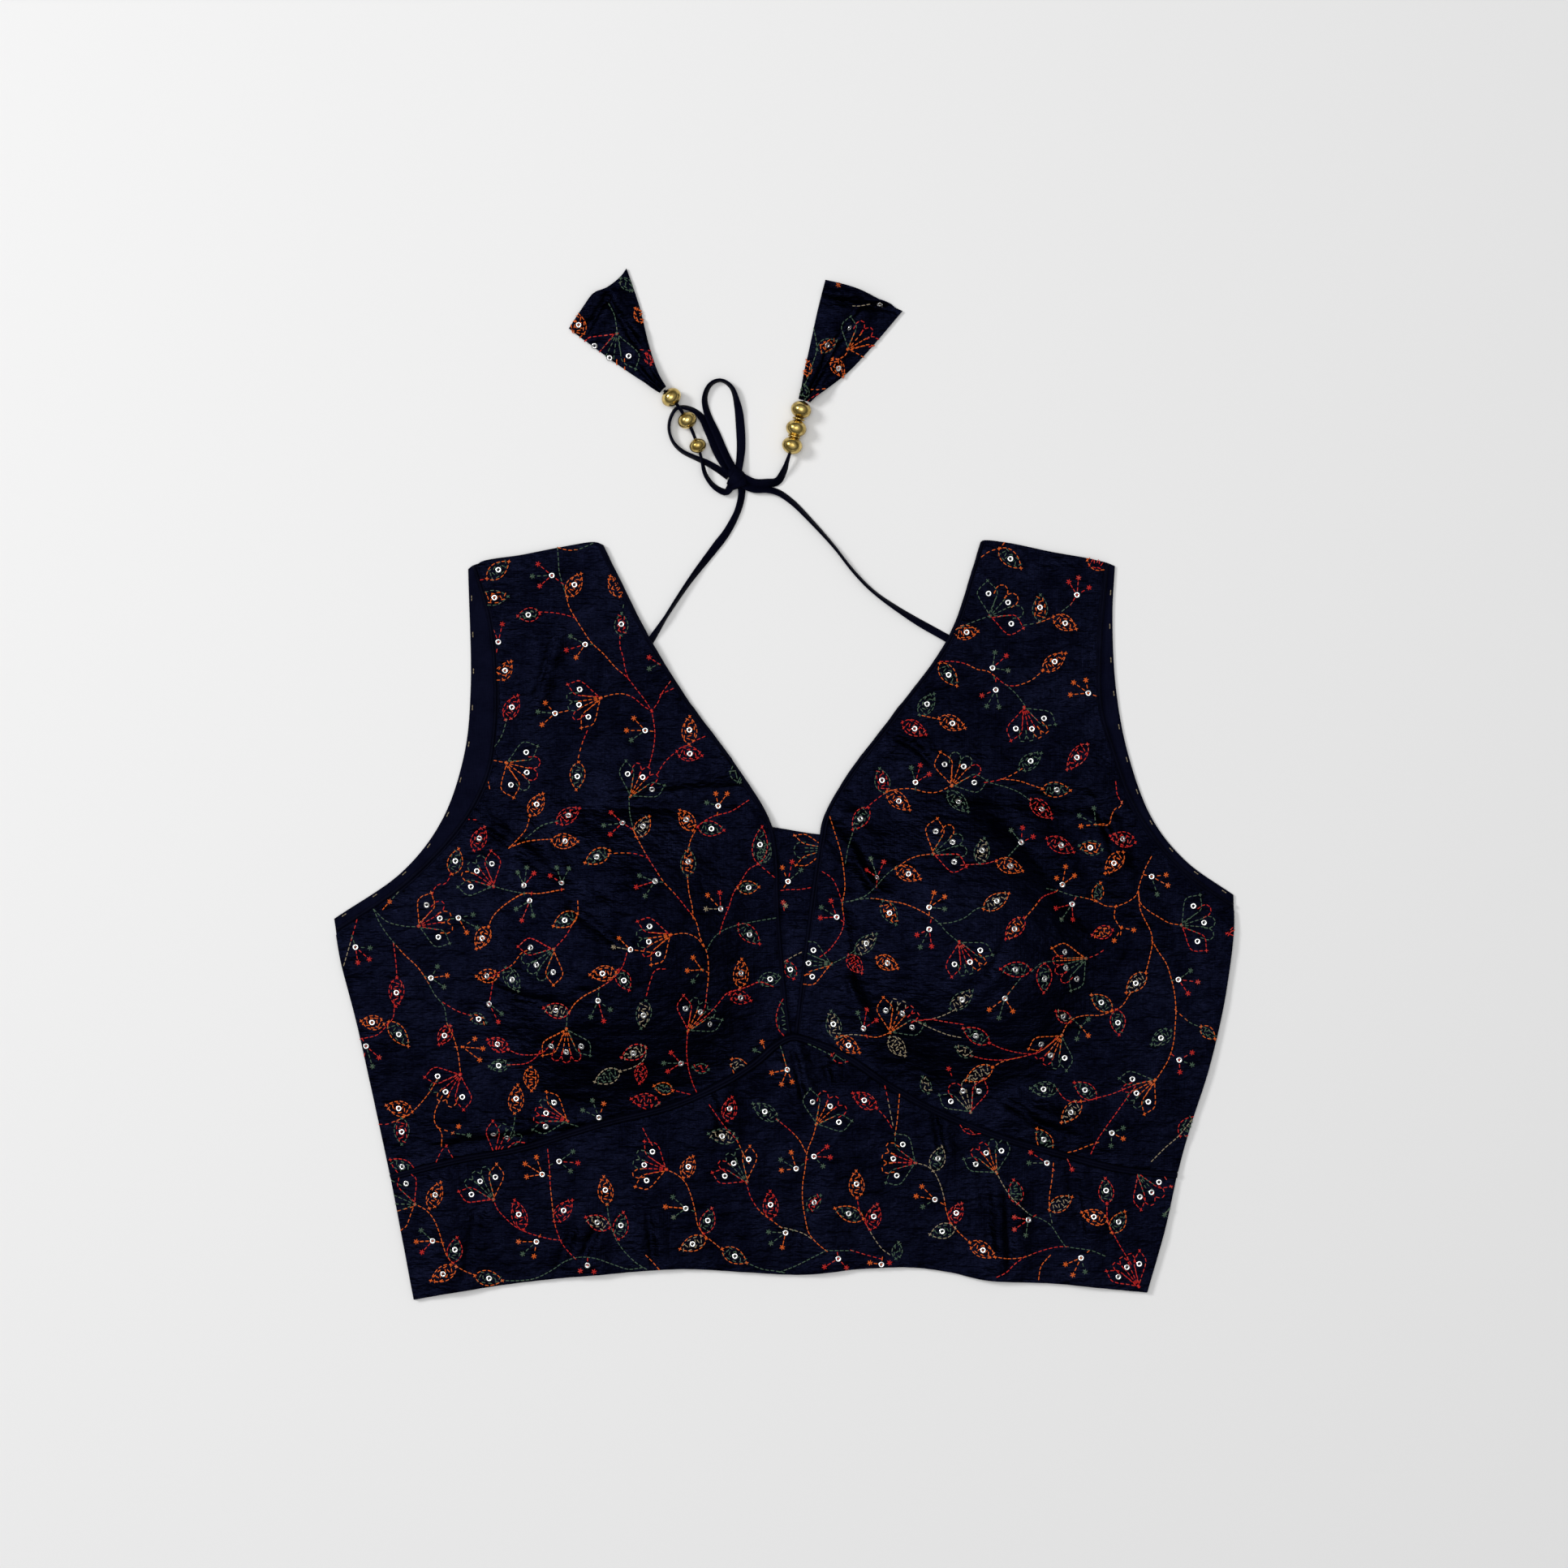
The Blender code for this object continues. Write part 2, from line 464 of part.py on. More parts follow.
def make_bead(name, bead, along):
    """A turned bead with a bore, its axis along its tail."""
    radius, half = bead.scale * BEAD_DIAMETER / 2, bead.scale * BEAD_LENGTH / 2
    rim = math.acos(CORD_BORE / 2 / radius)
    angles = np.linspace(rim, -rim, BEAD_RINGS)
    mesh = bpy.data.meshes.new(name)
    profile = [(radius * math.cos(a) * MM, 0.0, half * math.sin(a) / math.sin(rim) * MM) for a in angles]
    mesh.from_pydata(profile, [(i, (i + 1) % len(profile)) for i in range(len(profile))], [])
    obj = finish(bpy.data.objects.new(name, mesh), GOLD_BEAD)
    turn = obj.modifiers.new("Turn", "SCREW")
    turn.steps = turn.render_steps = BEAD_STEPS
    turn.merge_threshold = 0.00001
    obj.location = (bead.x * MM, bead.y * MM, radius * MM)
    obj.rotation_euler = Vector(along).to_track_quat("Z", "Y").to_euler()


def make_tassel(name, edges):
    """A folded triangle of cloth, arched over the surface and gathered at its bead."""
    across, down = TASSEL_CELLS
    left, right = smooth_path(edges.left, down + 1)[::-1], smooth_path(edges.right, down + 1)[::-1]
    tip = np.linspace(left[-1], right[-1], across + 1)
    points = between(left, right, smooth_path(edges.far, across + 1), tip)
    from_tip = np.linalg.norm(points - tip[across // 2], axis=2)
    arch = np.sin(np.linspace(0.0, math.pi, across + 1))[None, :]
    arch = arch * np.clip(from_tip / TASSEL_ARCH_LENGTH, 0.0, 1.0)
    height = TASSEL_ARCH * arch + TASSEL_TIP_Z * np.exp(-(from_tip / TASSEL_TIP_LENGTH) ** 2)
    sheet("tassel_" + name, points, height, TASSEL_WALL, NAVY_SILK)


def make_ties():
    """Knot, cords, beads and tassels."""
    make_knot()
    for name, route in CORD_ROUTES.items():
        make_cord(name, route)
    for tail in ("left", "right"):
        path = smooth_path(CORD_ROUTES["tail_" + tail], FINE)
        along = np.gradient(path, axis=0)
        for number, bead in enumerate([bead for bead in BEADS if bead.tail == tail], 1):
            nearest = np.argmin(np.hypot(path[:, 0] - bead.x, path[:, 1] - bead.y))
            make_bead(f"bead_{tail}_{number}", bead, (along[nearest, 0], along[nearest, 1], 0.0))
        make_tassel(tail, TASSELS[tail])


def main():
    for obj in list(bpy.data.objects):
        bpy.data.objects.remove(obj, do_unlink=True)
    bpy.context.scene.collection.children.link(bpy.data.collections.new(COLLECTION))
    make_back()
    make_inset()
    make_front("left", LEFT, -1)
    make_front("right", RIGHT, 1)
    make_band()
    make_ties()


main()
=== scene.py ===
"""Finished look of a sleeveless choli blouse laid flat: silk fronts and band with trailing-flower
embroidery and sequins, corded bindings, ribbon neck ties, gold beads and two cloth tassels.

Sizes and tables are in millimetres in the part's own frame, as in its source: X to the right as
the front is seen, Y up towards the shoulders, Z up off the surface that the blouse lies on.
"""
import math
from collections import namedtuple

import bmesh
import bpy
import mathutils
import numpy as np
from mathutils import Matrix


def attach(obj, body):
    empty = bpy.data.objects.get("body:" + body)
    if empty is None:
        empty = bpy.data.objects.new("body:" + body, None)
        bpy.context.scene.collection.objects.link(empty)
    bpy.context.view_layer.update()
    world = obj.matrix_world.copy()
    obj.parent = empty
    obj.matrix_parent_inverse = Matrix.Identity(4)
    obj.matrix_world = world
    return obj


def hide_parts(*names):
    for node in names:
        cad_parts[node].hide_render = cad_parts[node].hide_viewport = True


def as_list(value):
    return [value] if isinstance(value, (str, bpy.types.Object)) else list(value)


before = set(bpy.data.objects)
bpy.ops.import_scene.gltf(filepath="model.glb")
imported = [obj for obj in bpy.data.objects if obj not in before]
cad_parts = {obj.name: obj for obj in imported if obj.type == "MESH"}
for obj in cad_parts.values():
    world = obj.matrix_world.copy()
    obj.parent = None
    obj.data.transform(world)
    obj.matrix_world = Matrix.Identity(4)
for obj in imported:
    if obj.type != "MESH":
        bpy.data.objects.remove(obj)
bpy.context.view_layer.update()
MM = 0.001

# Camera over the middle of the photograph, which shows a square of floor.
VIEW_CENTRE = (0.0, 0.067)
VIEW_HEIGHT = 1.825
LENS, SENSOR = 85.0, 36.0

# Cloth layers and trims, as in the solids.
GAP = 0.3
BACK_WALL, INSET_WALL, FRONT_WALL, BAND_WALL, TASSEL_WALL = 1.2, 1.0, 1.4, 1.4, 1.2
TRIM_WIDTH = 3.0
UNDERARM_STEP = 1.5
INSET_Z = FRONT_Z = BACK_WALL + GAP
INSET_LIFT = INSET_WALL + GAP + 0.1
INSET_MIDDLE_X, INSET_REACH, INSET_FADE = 6.0, 32.0, 12.0
INSET_TOP_Y, INSET_TOP_FADE = 62.0, 3.0
CORD_LIFT, CORD_REACH = 1.9, 16.0
FINE = 300


def route(text):
    """Places of a route, edge or profile, from their numbers as text."""
    return tuple(tuple(map(float, place.split(","))) for place in text.split())


Side = namedtuple("Side", "shoulder armhole back_armhole neck slit flank")

# Edges of each half, as X,Y in order. Each one runs down from the shoulder, and the shoulder
# runs from the armhole to the neck.
LEFT = Side(
    shoulder=route("-155.6,172.8 -153,174.8 -130.4,179.2 -106.4,184.4 -93,186.2 -89,184.8"),
    armhole=route("""-153.4,174 -146.4,149.4 -143.2,121.4 -143.6,93.4 -147.4,71.4 -159.4,48.4
        -186.4,19.4 -220.6,-4"""),
    back_armhole=route("-155.6,172.8 -154.4,113.4 -157.6,81.4 -168.4,49.4 -187.4,24.4 -221.6,0.6"),
    neck=route("-89,184.8 -65.2,137.4 -46.4,107.4 -24.4,77.4 -5.6,45.4"),
    slit=route("-5.6,45.4 -2,1.4 1.4,-38.6 3.5,-55.5"),
    flank=route("""-221.6,0.6 -218.6,-18.6 -210.4,-50.6 -202.4,-86.6 -193.8,-126.6 -187.6,-158.6
        -182.4,-187"""),
)
RIGHT = Side(
    shoulder=route("163,174.4 158.4,176.2 133.6,181 109.6,186 98,187 96.8,186.2"),
    armhole=route("""159.8,175.4 156.4,133.4 156.8,105.4 163.6,81.4 171.6,59.4 185.6,37.4 201.6,21.4
        221.2,8"""),
    back_armhole=route("163,174.4 161.8,149.4 163.6,113.4 169.6,81.4 181.6,49.4 198,29 221.4,12.4"),
    neck=route("96.8,186.2 80.4,138.6 53.6,101.4 29.6,69.4 19.4,50.6"),
    slit=route("19.4,50.6 17.4,40.4 13.4,13.4 8.4,-26.6 5,-55.5"),
    flank=route("""221.4,12.4 221.6,-2.6 219.6,-22.6 215.6,-46.6 208.8,-74.6 199.8,-102.6 193.6,-125.6
        188,-150.6 178.8,-183.4"""),
)

# Neck of the back, seam under the bust and hem of the band, as X,Y from left to right.
BACK_NECK = route("""-89,184.8 -74.2,138 -64,100 -55,60 -36,22 4,4 44,22 66,60 76,100 89.4,138
    96.8,186.2""")
BUST_SEAM = route("""-193.8,-126.6 -162.4,-118.6 -130.4,-112.6 -90.4,-100.6 -54.4,-91.4 -30.4,-80.6
    -14.4,-70.6 -3.4,-61.2 4.2,-57.6 13,-59.6 29.6,-66.6 53.6,-82.6 77.6,-95.4 105.6,-106.6 133.6,-114.6
    165.6,-122.6 193.6,-125.6""")
HEM = route("""-182.4,-187 -162.4,-183.4 -130.4,-178.6 -90.4,-174.6 -50.4,-171.8 -18.4,-173.4 9.6,-174.6
    37.6,-171.8 61.6,-171 81.6,-173.4 99.6,-177.4 133.6,-179 161.6,-181.8 178.8,-183.4""")
INSET_EDGES = {
    "left": route("-26,48.2 -16,0 -10,-53"),
    "right": route("38,41.6 26,0 17,-56"),
    "top": route("-26,48.2 -5.6,45.8 17.6,42.2 38,41.6"),
    "bottom": route("-10,-53 3,-55 17,-56"),
}

# Padded cups: centre, reach to each side and up and down, and height of the crown.
Cup = namedtuple("Cup", "x y reach_x reach_up reach_down height")
CUPS = (Cup(-82.0, -22.0, 73.0, 92.0, 76.0, 26.0), Cup(89.0, -16.0, 69.0, 90.0, 73.0, 26.0))
CUP_CROWN, CUP_RIM = 2.6, 1.8

Fold = namedtuple("Fold", "x0 y0 x1 y1 width height")


def folds(text):
    """Folds or creases, from the numbers of each as text."""
    return [Fold(*map(float, row.split())) for row in text.split(";")]


# Main folds, as in the solids: from one point to the other, half the width, and the height, or
# the depth if negative.
FRONT_FOLDS = folds("""-113 140 -122 110 6 2.2; -148 43 -124 29 7 3; -103 8 -80 -14 5 -2;
    -132 -30 -104 -42 6 -2.2; -176 -92 -130 -104 8 2.4; 54 88 72 74 6 2; 34 50 46 26 6 2;
    166 26 150 52 7 2.8; 158 30 184 -4 8 2.6; 112 -96 148 -104 7 2.6""")
BAND_FOLDS = folds("""-166 -124 -160 -180 9 1.6; -104 -150 -92 -172 8 1.8; -64 -102 -68 -168 10 1.4;
    -30 -90 -44 -110 6 1.4; 4 -66 7 -92 5 2.2; 28 -80 20 -168 11 1.4; 77 -102 74 -126 6 1.6;
    110 -136 104 -172 8 2.2; 160 -130 150 -176 10 1.8""")

# Sharp creases in the silk, each a narrow trough with a soft ridge on its left side, and how deep
# they all are against these heights.
FRONT_CREASES = folds("""-154.8 49 -140 40.2 1.6 0.9; -140 40.2 -122.4 27 2 1.3;
    -103.2 6.2 -83.6 -8.6 2.4 1.5; -144.4 -32.2 -131.2 -36.6 1.6 0.8; -131.2 -36.6 -110.4 -41.4 2.2 1.3;
    -78 -14.6 -72 -32.2 1.8 0.9; -82.4 19.4 -86.8 4.6 2.2 0.9; -193.2 4.6 -177.2 6.2 1.6 0.7;
    -157.6 -109.4 -123.6 -105.4 1.8 1; -168.4 -112.2 -104 -103.8 2.4 0.8;
    -104 -103.8 -46.4 -92.6 2.2 0.8; -36.4 -47 -27.6 -72.2 1.8 0.9; -20 37.4 -11.2 22.2 2.4 0.8;
    -114.4 136.2 -121.6 112.2 1.6 1; 56.8 89 65.6 84.6 1.6 1; 65.6 84.6 71.6 77 1.8 1;
    34 34.2 40.4 21 1.8 1; 29.6 1.8 33.2 -32.2 2.4 1.2; 33.2 -32.2 40.4 -45.8 2.4 1;
    107.2 -10.2 101.2 -22.2 2 0.9; 101.2 -22.2 92.4 -32.2 2 0.9; 113.2 -91.4 126.4 -100.6 2.4 1.3;
    126.4 -100.6 139.6 -105 2.2 1.2; 151.6 57.8 158.8 44.6 2 1.1; 158.8 44.6 162 28.2 2 1.1;
    145.6 38.6 135.2 29.8 1.8 1; 175.2 37 167.6 23.8 1.8 0.9; -76 57 -30 61 5.5 2.4;
    -128 44 -88 4 6.5 2.6; 92 62 150 57 5 1.6; 112 44 138 10 6.5 2.6; 20 46 44 18 4 1.8""")
INSET_CREASES = folds("-2 3 9.6 0.4 1.8 0.5")
BAND_CREASES = folds("""4.8 -66.6 8.8 -84.2 1.8 1.3; 19.6 -66.6 22 -76.6 1.6 1.2;
    74.4 -97.4 77.6 -113.8 1.8 1.2; -104.8 -154.6 -109.2 -166.6 2.2 1.2; -92.4 -152 -98 -164 2 1.1;
    -66.4 -148 -64 -168 2 0.9; -36 -88 -30 -104 2.2 1; 109.6 -138.6 111 -166 2.4 1.2;
    98 -128 102 -160 2.4 1; 142 -126 146 -150 2.2 0.9; 12 -138 6 -158 2.6 0.9;
    -150 -142 -156 -170 2.4 0.9""")
TASSEL_CREASES = folds("""-87.2 306.2 -98.4 288.6 1.7 1.5; -86 305 -74.4 287 1.8 1.5;
    -74.4 287 -66 270 2 1.2; 19.2 305.8 53.6 301 1.4 1.3; 34.8 299.8 22 278.2 2.2 1.8;
    22 278.2 13.6 261.4 1.8 1.4""")
CREASE_DEPTH = 1.7

# Small gathers beside the seams: the distance between two, how far they run in, and their height.
Gathers = namedtuple("Gathers", "pitch reach height seed")
ARMHOLE_GATHERS = Gathers(3.9, 7.5, 0.50, 11)
NECK_GATHERS = Gathers(5.2, 5.0, 0.28, 12)
SEAM_GATHERS = Gathers(6.0, 7.0, 0.40, 13)
HEM_GATHERS = Gathers(9.0, 6.0, 0.30, 14)

# Routes of the neck cords, as in the solids: X,Y and height of the centre.
CORD_ROUTES = {
    "cord_left": route("""-70.2,131.2,1.3 -65.6,137.8,1.3 -47.6,165.4,1.3 -34,183.4,1.3 -28,191.4,1.3
        -22.4,202.6,1.3 -20.8,211,1.4 -21.6,216,2.4"""),
    "cord_right": route("""86.4,135.2,1.3 80,139,1.3 62.4,149,1.3 44.4,161.4,1.3 34.8,171,1.3
        24,184.6,1.3 12.8,197,1.3 4,205.8,1.3 -3,210.6,1.3 -8.6,212,1.3 -14.6,212.2,1.4
        -21.6,215,2.4"""),
    "loop_tall": route("""-24.4,221,2.4 -28,227.4,1.3 -33.4,239.4,1.3 -38,250.2,1.3 -39,257.6,1.3
        -36.2,263.8,1.3 -31.2,265.8,1.3 -26,262.6,1.3 -22.8,253.4,1.3 -21.4,241.4,1.3 -21.2,231.4,1.3
        -22.4,221,2.4"""),
    "loop_side": route("""-26.8,220.2,2.4 -31.6,227.6,1.3 -36.8,239.6,1.3 -41,248,1.3 -46.4,251.8,1.3
        -52.4,252.2,1.3 -55.8,247.4,1.3 -56.6,241.4,1.3 -54.6,235.4,1.3 -50.4,231,1.3 -44.4,228,1.3
        -38.8,225.6,1.3 -32.8,222.2,1.3 -27.4,218.4,2.4"""),
    "tail_left": route("""-25.6,214.6,2.4 -28.4,210.8,1.4 -34,213.2,1.5 -38.6,219.2,3 -40.4,226.2,4.1
        -42.4,233.4,4.3 -47.6,245.8,4.8 -55.4,257.1,5.1 -58.9,260.4,5.1"""),
    "tail_right": route("""-21.6,219,2.4 -14.6,215.4,1.4 -8.6,215.2,1.3 -3.4,216,1.3 -0.4,220.4,2.4
        1.8,226.4,4.6 4,233.4,5.1 6,241.8,5.1 8.4,251,5.1 10,255.1,5.1"""),
}
# How far the flat tie is turned on its edge along each route: share of the route, degrees.
CORD_TURNS = {
    "cord_left": route("0,20 0.22,78 0.45,60 0.68,22 0.85,50 1,30"),
    "cord_right": route("0,15 0.16,35 0.35,72 0.55,80 0.72,62 0.9,40 1,20"),
    "loop_tall": route("0,30 0.2,15 0.4,60 0.52,82 0.64,55 0.75,5 0.9,10 1,40"),
    "loop_side": route("0,50 0.15,20 0.3,35 0.45,70 0.62,84 0.8,66 1,35"),
    "tail_left": route("0,30 0.2,60 0.45,82 0.7,60 1,80"),
    "tail_right": route("0,40 0.18,10 0.4,50 0.6,84 1,80"),
}
TIE_WIDTH, TIE_THICKNESS = 4.4, 1.5
TIE_STEP, TIE_SIDES, TIE_LIFT = 1.2, 14, 0.12
# Width of the tails at their beads, and the Y between which they narrow to it.
TAIL_WIDTH, TAIL_NARROWS = 2.4, (222.0, 229.0)
KNOT_SIZE = (8.4, 10.4, 5.4)
KNOT_CENTRE = (-23.8, 217.2)
# A tie ends inside the knot: the knot's half size and this gap, and the share of them that is cut.
KNOT_GAP, KNOT_CUT = 0.14, 0.80

# Beads, by the tail that they hang on: X, Y, and size against the full bead.
Bead = namedtuple("Bead", "tail x y scale")
BEADS = (Bead("left", -42.4, 233.4, 0.82), Bead("left", -47.6, 245.8, 0.94),
         Bead("left", -55.4, 257.1, 1.0), Bead("right", 4.0, 233.4, 1.0), Bead("right", 6.0, 241.8, 1.0),
         Bead("right", 8.4, 251.0, 1.0))
BEAD_DIAMETER, BEAD_LENGTH, BEAD_BORE = 10.2, 8.2, 2.8
# Two thin discs between the beads of the right tail: places, height, axis and section.
DISCS = ((5.0, 237.7), (7.2, 246.4))
DISC_HEIGHT, DISC_AXIS = 5.1, (2.4, 9.2, 0.0)
DISC_SECTION = route("1.5,-0.35 2.5,-0.5 3.1,-0.25 3.1,0.25 2.5,0.5 1.5,0.35")

# Cloth tassels, as X,Y: their long edges run from the bead outwards, the far edge from left to right.
Tassel = namedtuple("Tassel", "left right far")
TASSELS = {
    "left": Tassel(
        left=route("-60.8,259.8 -66.4,263 -80,272.2 -99.2,286.2 -106,291.4"),
        right=route("-58.4,262.2 -61.6,268.6 -66,281.4 -71.2,302.2 -75.2,314.2 -77.6,321"),
        far=route("-106,291.4 -99.2,301.4 -93.6,308.6 -87.2,311.4 -80.4,317 -77.6,321")),
    "right": Tassel(
        left=route("7.6,256.2 9.6,268.6 12,279.4 16.8,301.4 18,306.2 20.4,315.4"),
        right=route("12.8,255 21.6,261.8 32.4,270.6 43.6,282.6 58.4,300"),
        far=route("20.4,315.4 29.6,313 37.6,310.2 47.6,305 58.4,300")),
}
TASSEL_ARCH, TASSEL_ARCH_LENGTH = 3.0, 20.0
TASSEL_TIP_Z, TASSEL_TIP_LENGTH = 4.2, 12.0
PLEATS, PLEAT_HEIGHT, PLEAT_LENGTH = 3.2, 0.7, 26.0

# Soft unevenness of each cloth, as waves: height, size and seed.
FRONT_SLACK = ((0.45, 26.0, 21), (0.26, 9.0, 22))
BAND_SLACK = ((0.50, 20.0, 31), (0.26, 8.0, 32))
INSET_SLACK = ((0.08, 12.0, 41),)
TASSEL_SLACK = ((0.15, 9.0, 51),)

# Thin visible shells, how far they reach under the bindings, and how finely they follow their solids.
TUCKED = 0.6
TUCK_SHARE = 0.93
SHELL, INSET_SHELL = 0.9, 0.8
EDGE_ROUND = 0.35
FRONT_CELLS = (156, 132, 102)
BAND_CELLS = (320, 58)
INSET_CELLS = (36, 66)
TASSEL_CELLS = (50, 58)
BACK_CELLS = (120, 60)
BACK_MIDDLE_X = 4.0
# The flat cloth against its outline as it lies, for the panels and for the tassels.
PANEL_EASE, TASSEL_EASE = 1.06, 1.2


def smooth_path(rows, count):
    """A smooth curve through the rows, at count points equally far apart along it."""
    rows = np.array(rows, float)
    padded = np.vstack((2 * rows[0] - rows[1], rows, 2 * rows[-1] - rows[-2]))
    knots = np.concatenate(([0.0], np.cumsum(np.linalg.norm(np.diff(padded, axis=0), axis=1) ** 0.5)))
    dense = []
    for i in range(1, len(rows)):
        p0, p1, p2, p3 = padded[i - 1:i + 3]
        k0, k1, k2, k3 = knots[i - 1:i + 3]
        t = np.linspace(k1, k2, 16, endpoint=i == len(rows) - 1)[:, None]
        a1 = ((k1 - t) * p0 + (t - k0) * p1) / (k1 - k0)
        a2 = ((k2 - t) * p1 + (t - k1) * p2) / (k2 - k1)
        a3 = ((k3 - t) * p2 + (t - k2) * p3) / (k3 - k2)
        b1 = ((k2 - t) * a1 + (t - k0) * a2) / (k2 - k0)
        b2 = ((k3 - t) * a2 + (t - k1) * a3) / (k3 - k1)
        dense.append(((k2 - t) * b1 + (t - k1) * b2) / (k2 - k1))
    return evenly(np.vstack(dense), count)


def lengths_along(path):
    """Distance from the start of the path to each of its points."""
    return np.concatenate(([0.0], np.cumsum(np.linalg.norm(np.diff(path, axis=0), axis=1))))


def evenly(path, count):
    """The path at count points equally far apart."""
    run = lengths_along(path)
    wanted = np.linspace(0.0, run[-1], count)
    return np.column_stack([np.interp(wanted, run, path[:, k]) for k in range(path.shape[1])])


def directions(path):
    """Unit vectors along the path."""
    along = np.gradient(path, axis=0)
    return along / np.linalg.norm(along, axis=1)[:, None]


def moved_aside(path, distance):
    """The path moved sideways in XY, to its left if distance is positive."""
    along = directions(path[:, :2])
    return path[:, :2] + distance * np.column_stack((-along[:, 1], along[:, 0]))


def between(left, right, top, bottom):
    """Points of the patch inside four edges: rows run down, and each row runs from left to right."""
    u = np.linspace(0.0, 1.0, len(top))[None, :, None]
    v = np.linspace(0.0, 1.0, len(left))[:, None, None]
    top = top + (1 - u[0]) * (left[0] - top[0]) + u[0] * (right[0] - top[-1])
    bottom = bottom + (1 - u[0]) * (left[-1] - bottom[0]) + u[0] * (right[-1] - bottom[-1])
    corners = ((1 - u) * (1 - v) * left[0] + u * (1 - v) * right[0]
               + (1 - u) * v * left[-1] + u * v * right[-1])
    return ((1 - v) * top[None] + v * bottom[None] + (1 - u) * left[:, None] + u * right[:, None]
            - corners)


def place_on(fold, x, y):
    """Distance past the fold's ends, and signed distance to its left side."""
    along = np.array((fold.x1 - fold.x0, fold.y1 - fold.y0))
    long = np.hypot(*along)
    ahead = ((x - fold.x0) * along[0] + (y - fold.y0) * along[1]) / long
    aside = ((y - fold.y0) * along[0] - (x - fold.x0) * along[1]) / long
    past = np.maximum(np.maximum(-ahead, ahead - long), 0.0)
    return past, aside


def fold_height(folds, x, y):
    """Sum of the folds at these places, each one fading out sideways and past its ends."""
    total = np.zeros_like(x)
    for fold in folds:
        past, aside = place_on(fold, x, y)
        total += fold.height * np.exp(-(past ** 2 + aside ** 2) / fold.width ** 2)
    return total


def crease_height(creases, x, y):
    """Sum of the creases: a narrow trough, and a wider ridge beside it."""
    total = np.zeros_like(x)
    for crease in creases:
        past, aside = place_on(crease, x, y)
        trough = np.exp(-(aside / crease.width) ** 2)
        ridge = np.exp(-((aside - 2.2 * crease.width) / (1.9 * crease.width)) ** 2)
        total += crease.height * (0.6 * ridge - trough) * np.exp(-(past / (2.5 * crease.width)) ** 2)
    return CREASE_DEPTH * total


def ripple(x, y, size, seed):
    """Smooth uneven waves from -1 to 1, each about size across."""
    table = np.random.default_rng(seed).uniform(-1.0, 1.0, (97, 97))
    u, v = x / size + 48.5, y / size + 48.5
    i, j = np.floor(u).astype(int) % 96, np.floor(v).astype(int) % 96
    s, t = u % 1.0, v % 1.0
    s, t = s * s * (3 - 2 * s), t * t * (3 - 2 * t)
    low = table[i, j] * (1 - s) + table[i + 1, j] * s
    high = table[i, j + 1] * (1 - s) + table[i + 1, j + 1] * s
    return low * (1 - t) + high * t


def slack_height(waves, x, y):
    """Soft unevenness of loose cloth."""
    return sum(height * ripple(x, y, size, seed) for height, size, seed in waves)


def nearest_on(path, x, y):
    """Distance from each place to the path, and the length of path before its nearest point."""
    run = lengths_along(path)
    flat_x, flat_y = np.ravel(x), np.ravel(y)
    away = np.hypot(flat_x[:, None] - path[None, :, 0], flat_y[:, None] - path[None, :, 1])
    nearest = away.argmin(axis=1)
    return away.min(axis=1).reshape(np.shape(x)), run[nearest].reshape(np.shape(x))


def gather_height(path, gathers, x, y):
    """Small waves square to a seam, uneven in height and spacing, that fade out away from it."""
    away, along = nearest_on(path, x, y)
    uneven = ripple(along, away, 2.6 * gathers.pitch, gathers.seed)
    wave = np.sin(2 * math.pi * (along / gathers.pitch + 0.55 * uneven))
    tall = 0.6 + 0.4 * ripple(along, away, 5.0 * gathers.pitch, gathers.seed + 50)
    return gathers.height * tall * wave * np.exp(-(away / gathers.reach) ** 2)


def cup_height(x, y):
    """Height that the two padded cups add to the fronts."""
    total = np.zeros_like(x)
    for cup in CUPS:
        reach_y = np.where(y > cup.y, cup.reach_up, cup.reach_down)
        away = np.clip(np.hypot((x - cup.x) / cup.reach_x, (y - cup.y) / reach_y), 0.0, 1.0)
        total += cup.height * (1 - away ** CUP_CROWN) ** CUP_RIM
    return total


def front_height(x, y):
    """Underside of the front solids: on the back, over the inset and the cords, cups and folds."""
    past_inset = np.maximum(np.abs(x - INSET_MIDDLE_X) - INSET_REACH, 0.0)
    over_inset = INSET_LIFT * np.exp(-(past_inset / INSET_FADE) ** 2)
    over_inset /= 1 + np.exp((y - INSET_TOP_Y) / INSET_TOP_FADE)
    over_cords = np.zeros_like(x)
    for name in ("cord_left", "cord_right"):
        start = CORD_ROUTES[name][0]
        over_cords += CORD_LIFT * np.exp(-(np.hypot(x - start[0], y - start[1]) / CORD_REACH) ** 2)
    raised = cup_height(x, y) + fold_height(FRONT_FOLDS, x, y)
    return FRONT_Z + np.maximum(raised, 0.0) + over_inset + over_cords


def band_height(x, y):
    """Underside of the band solid, with its upright folds."""
    return FRONT_Z + np.maximum(fold_height(BAND_FOLDS, x, y), 0.0)


SIDES = {"left": LEFT, "right": RIGHT}
ARMHOLES = {name: smooth_path(side.armhole, FINE) for name, side in SIDES.items()}
NECKS = {name: smooth_path(side.neck + side.slit[1:], FINE) for name, side in SIDES.items()}
SEAM = smooth_path(BUST_SEAM, FINE)
HEM_PATH = smooth_path(HEM, FINE)


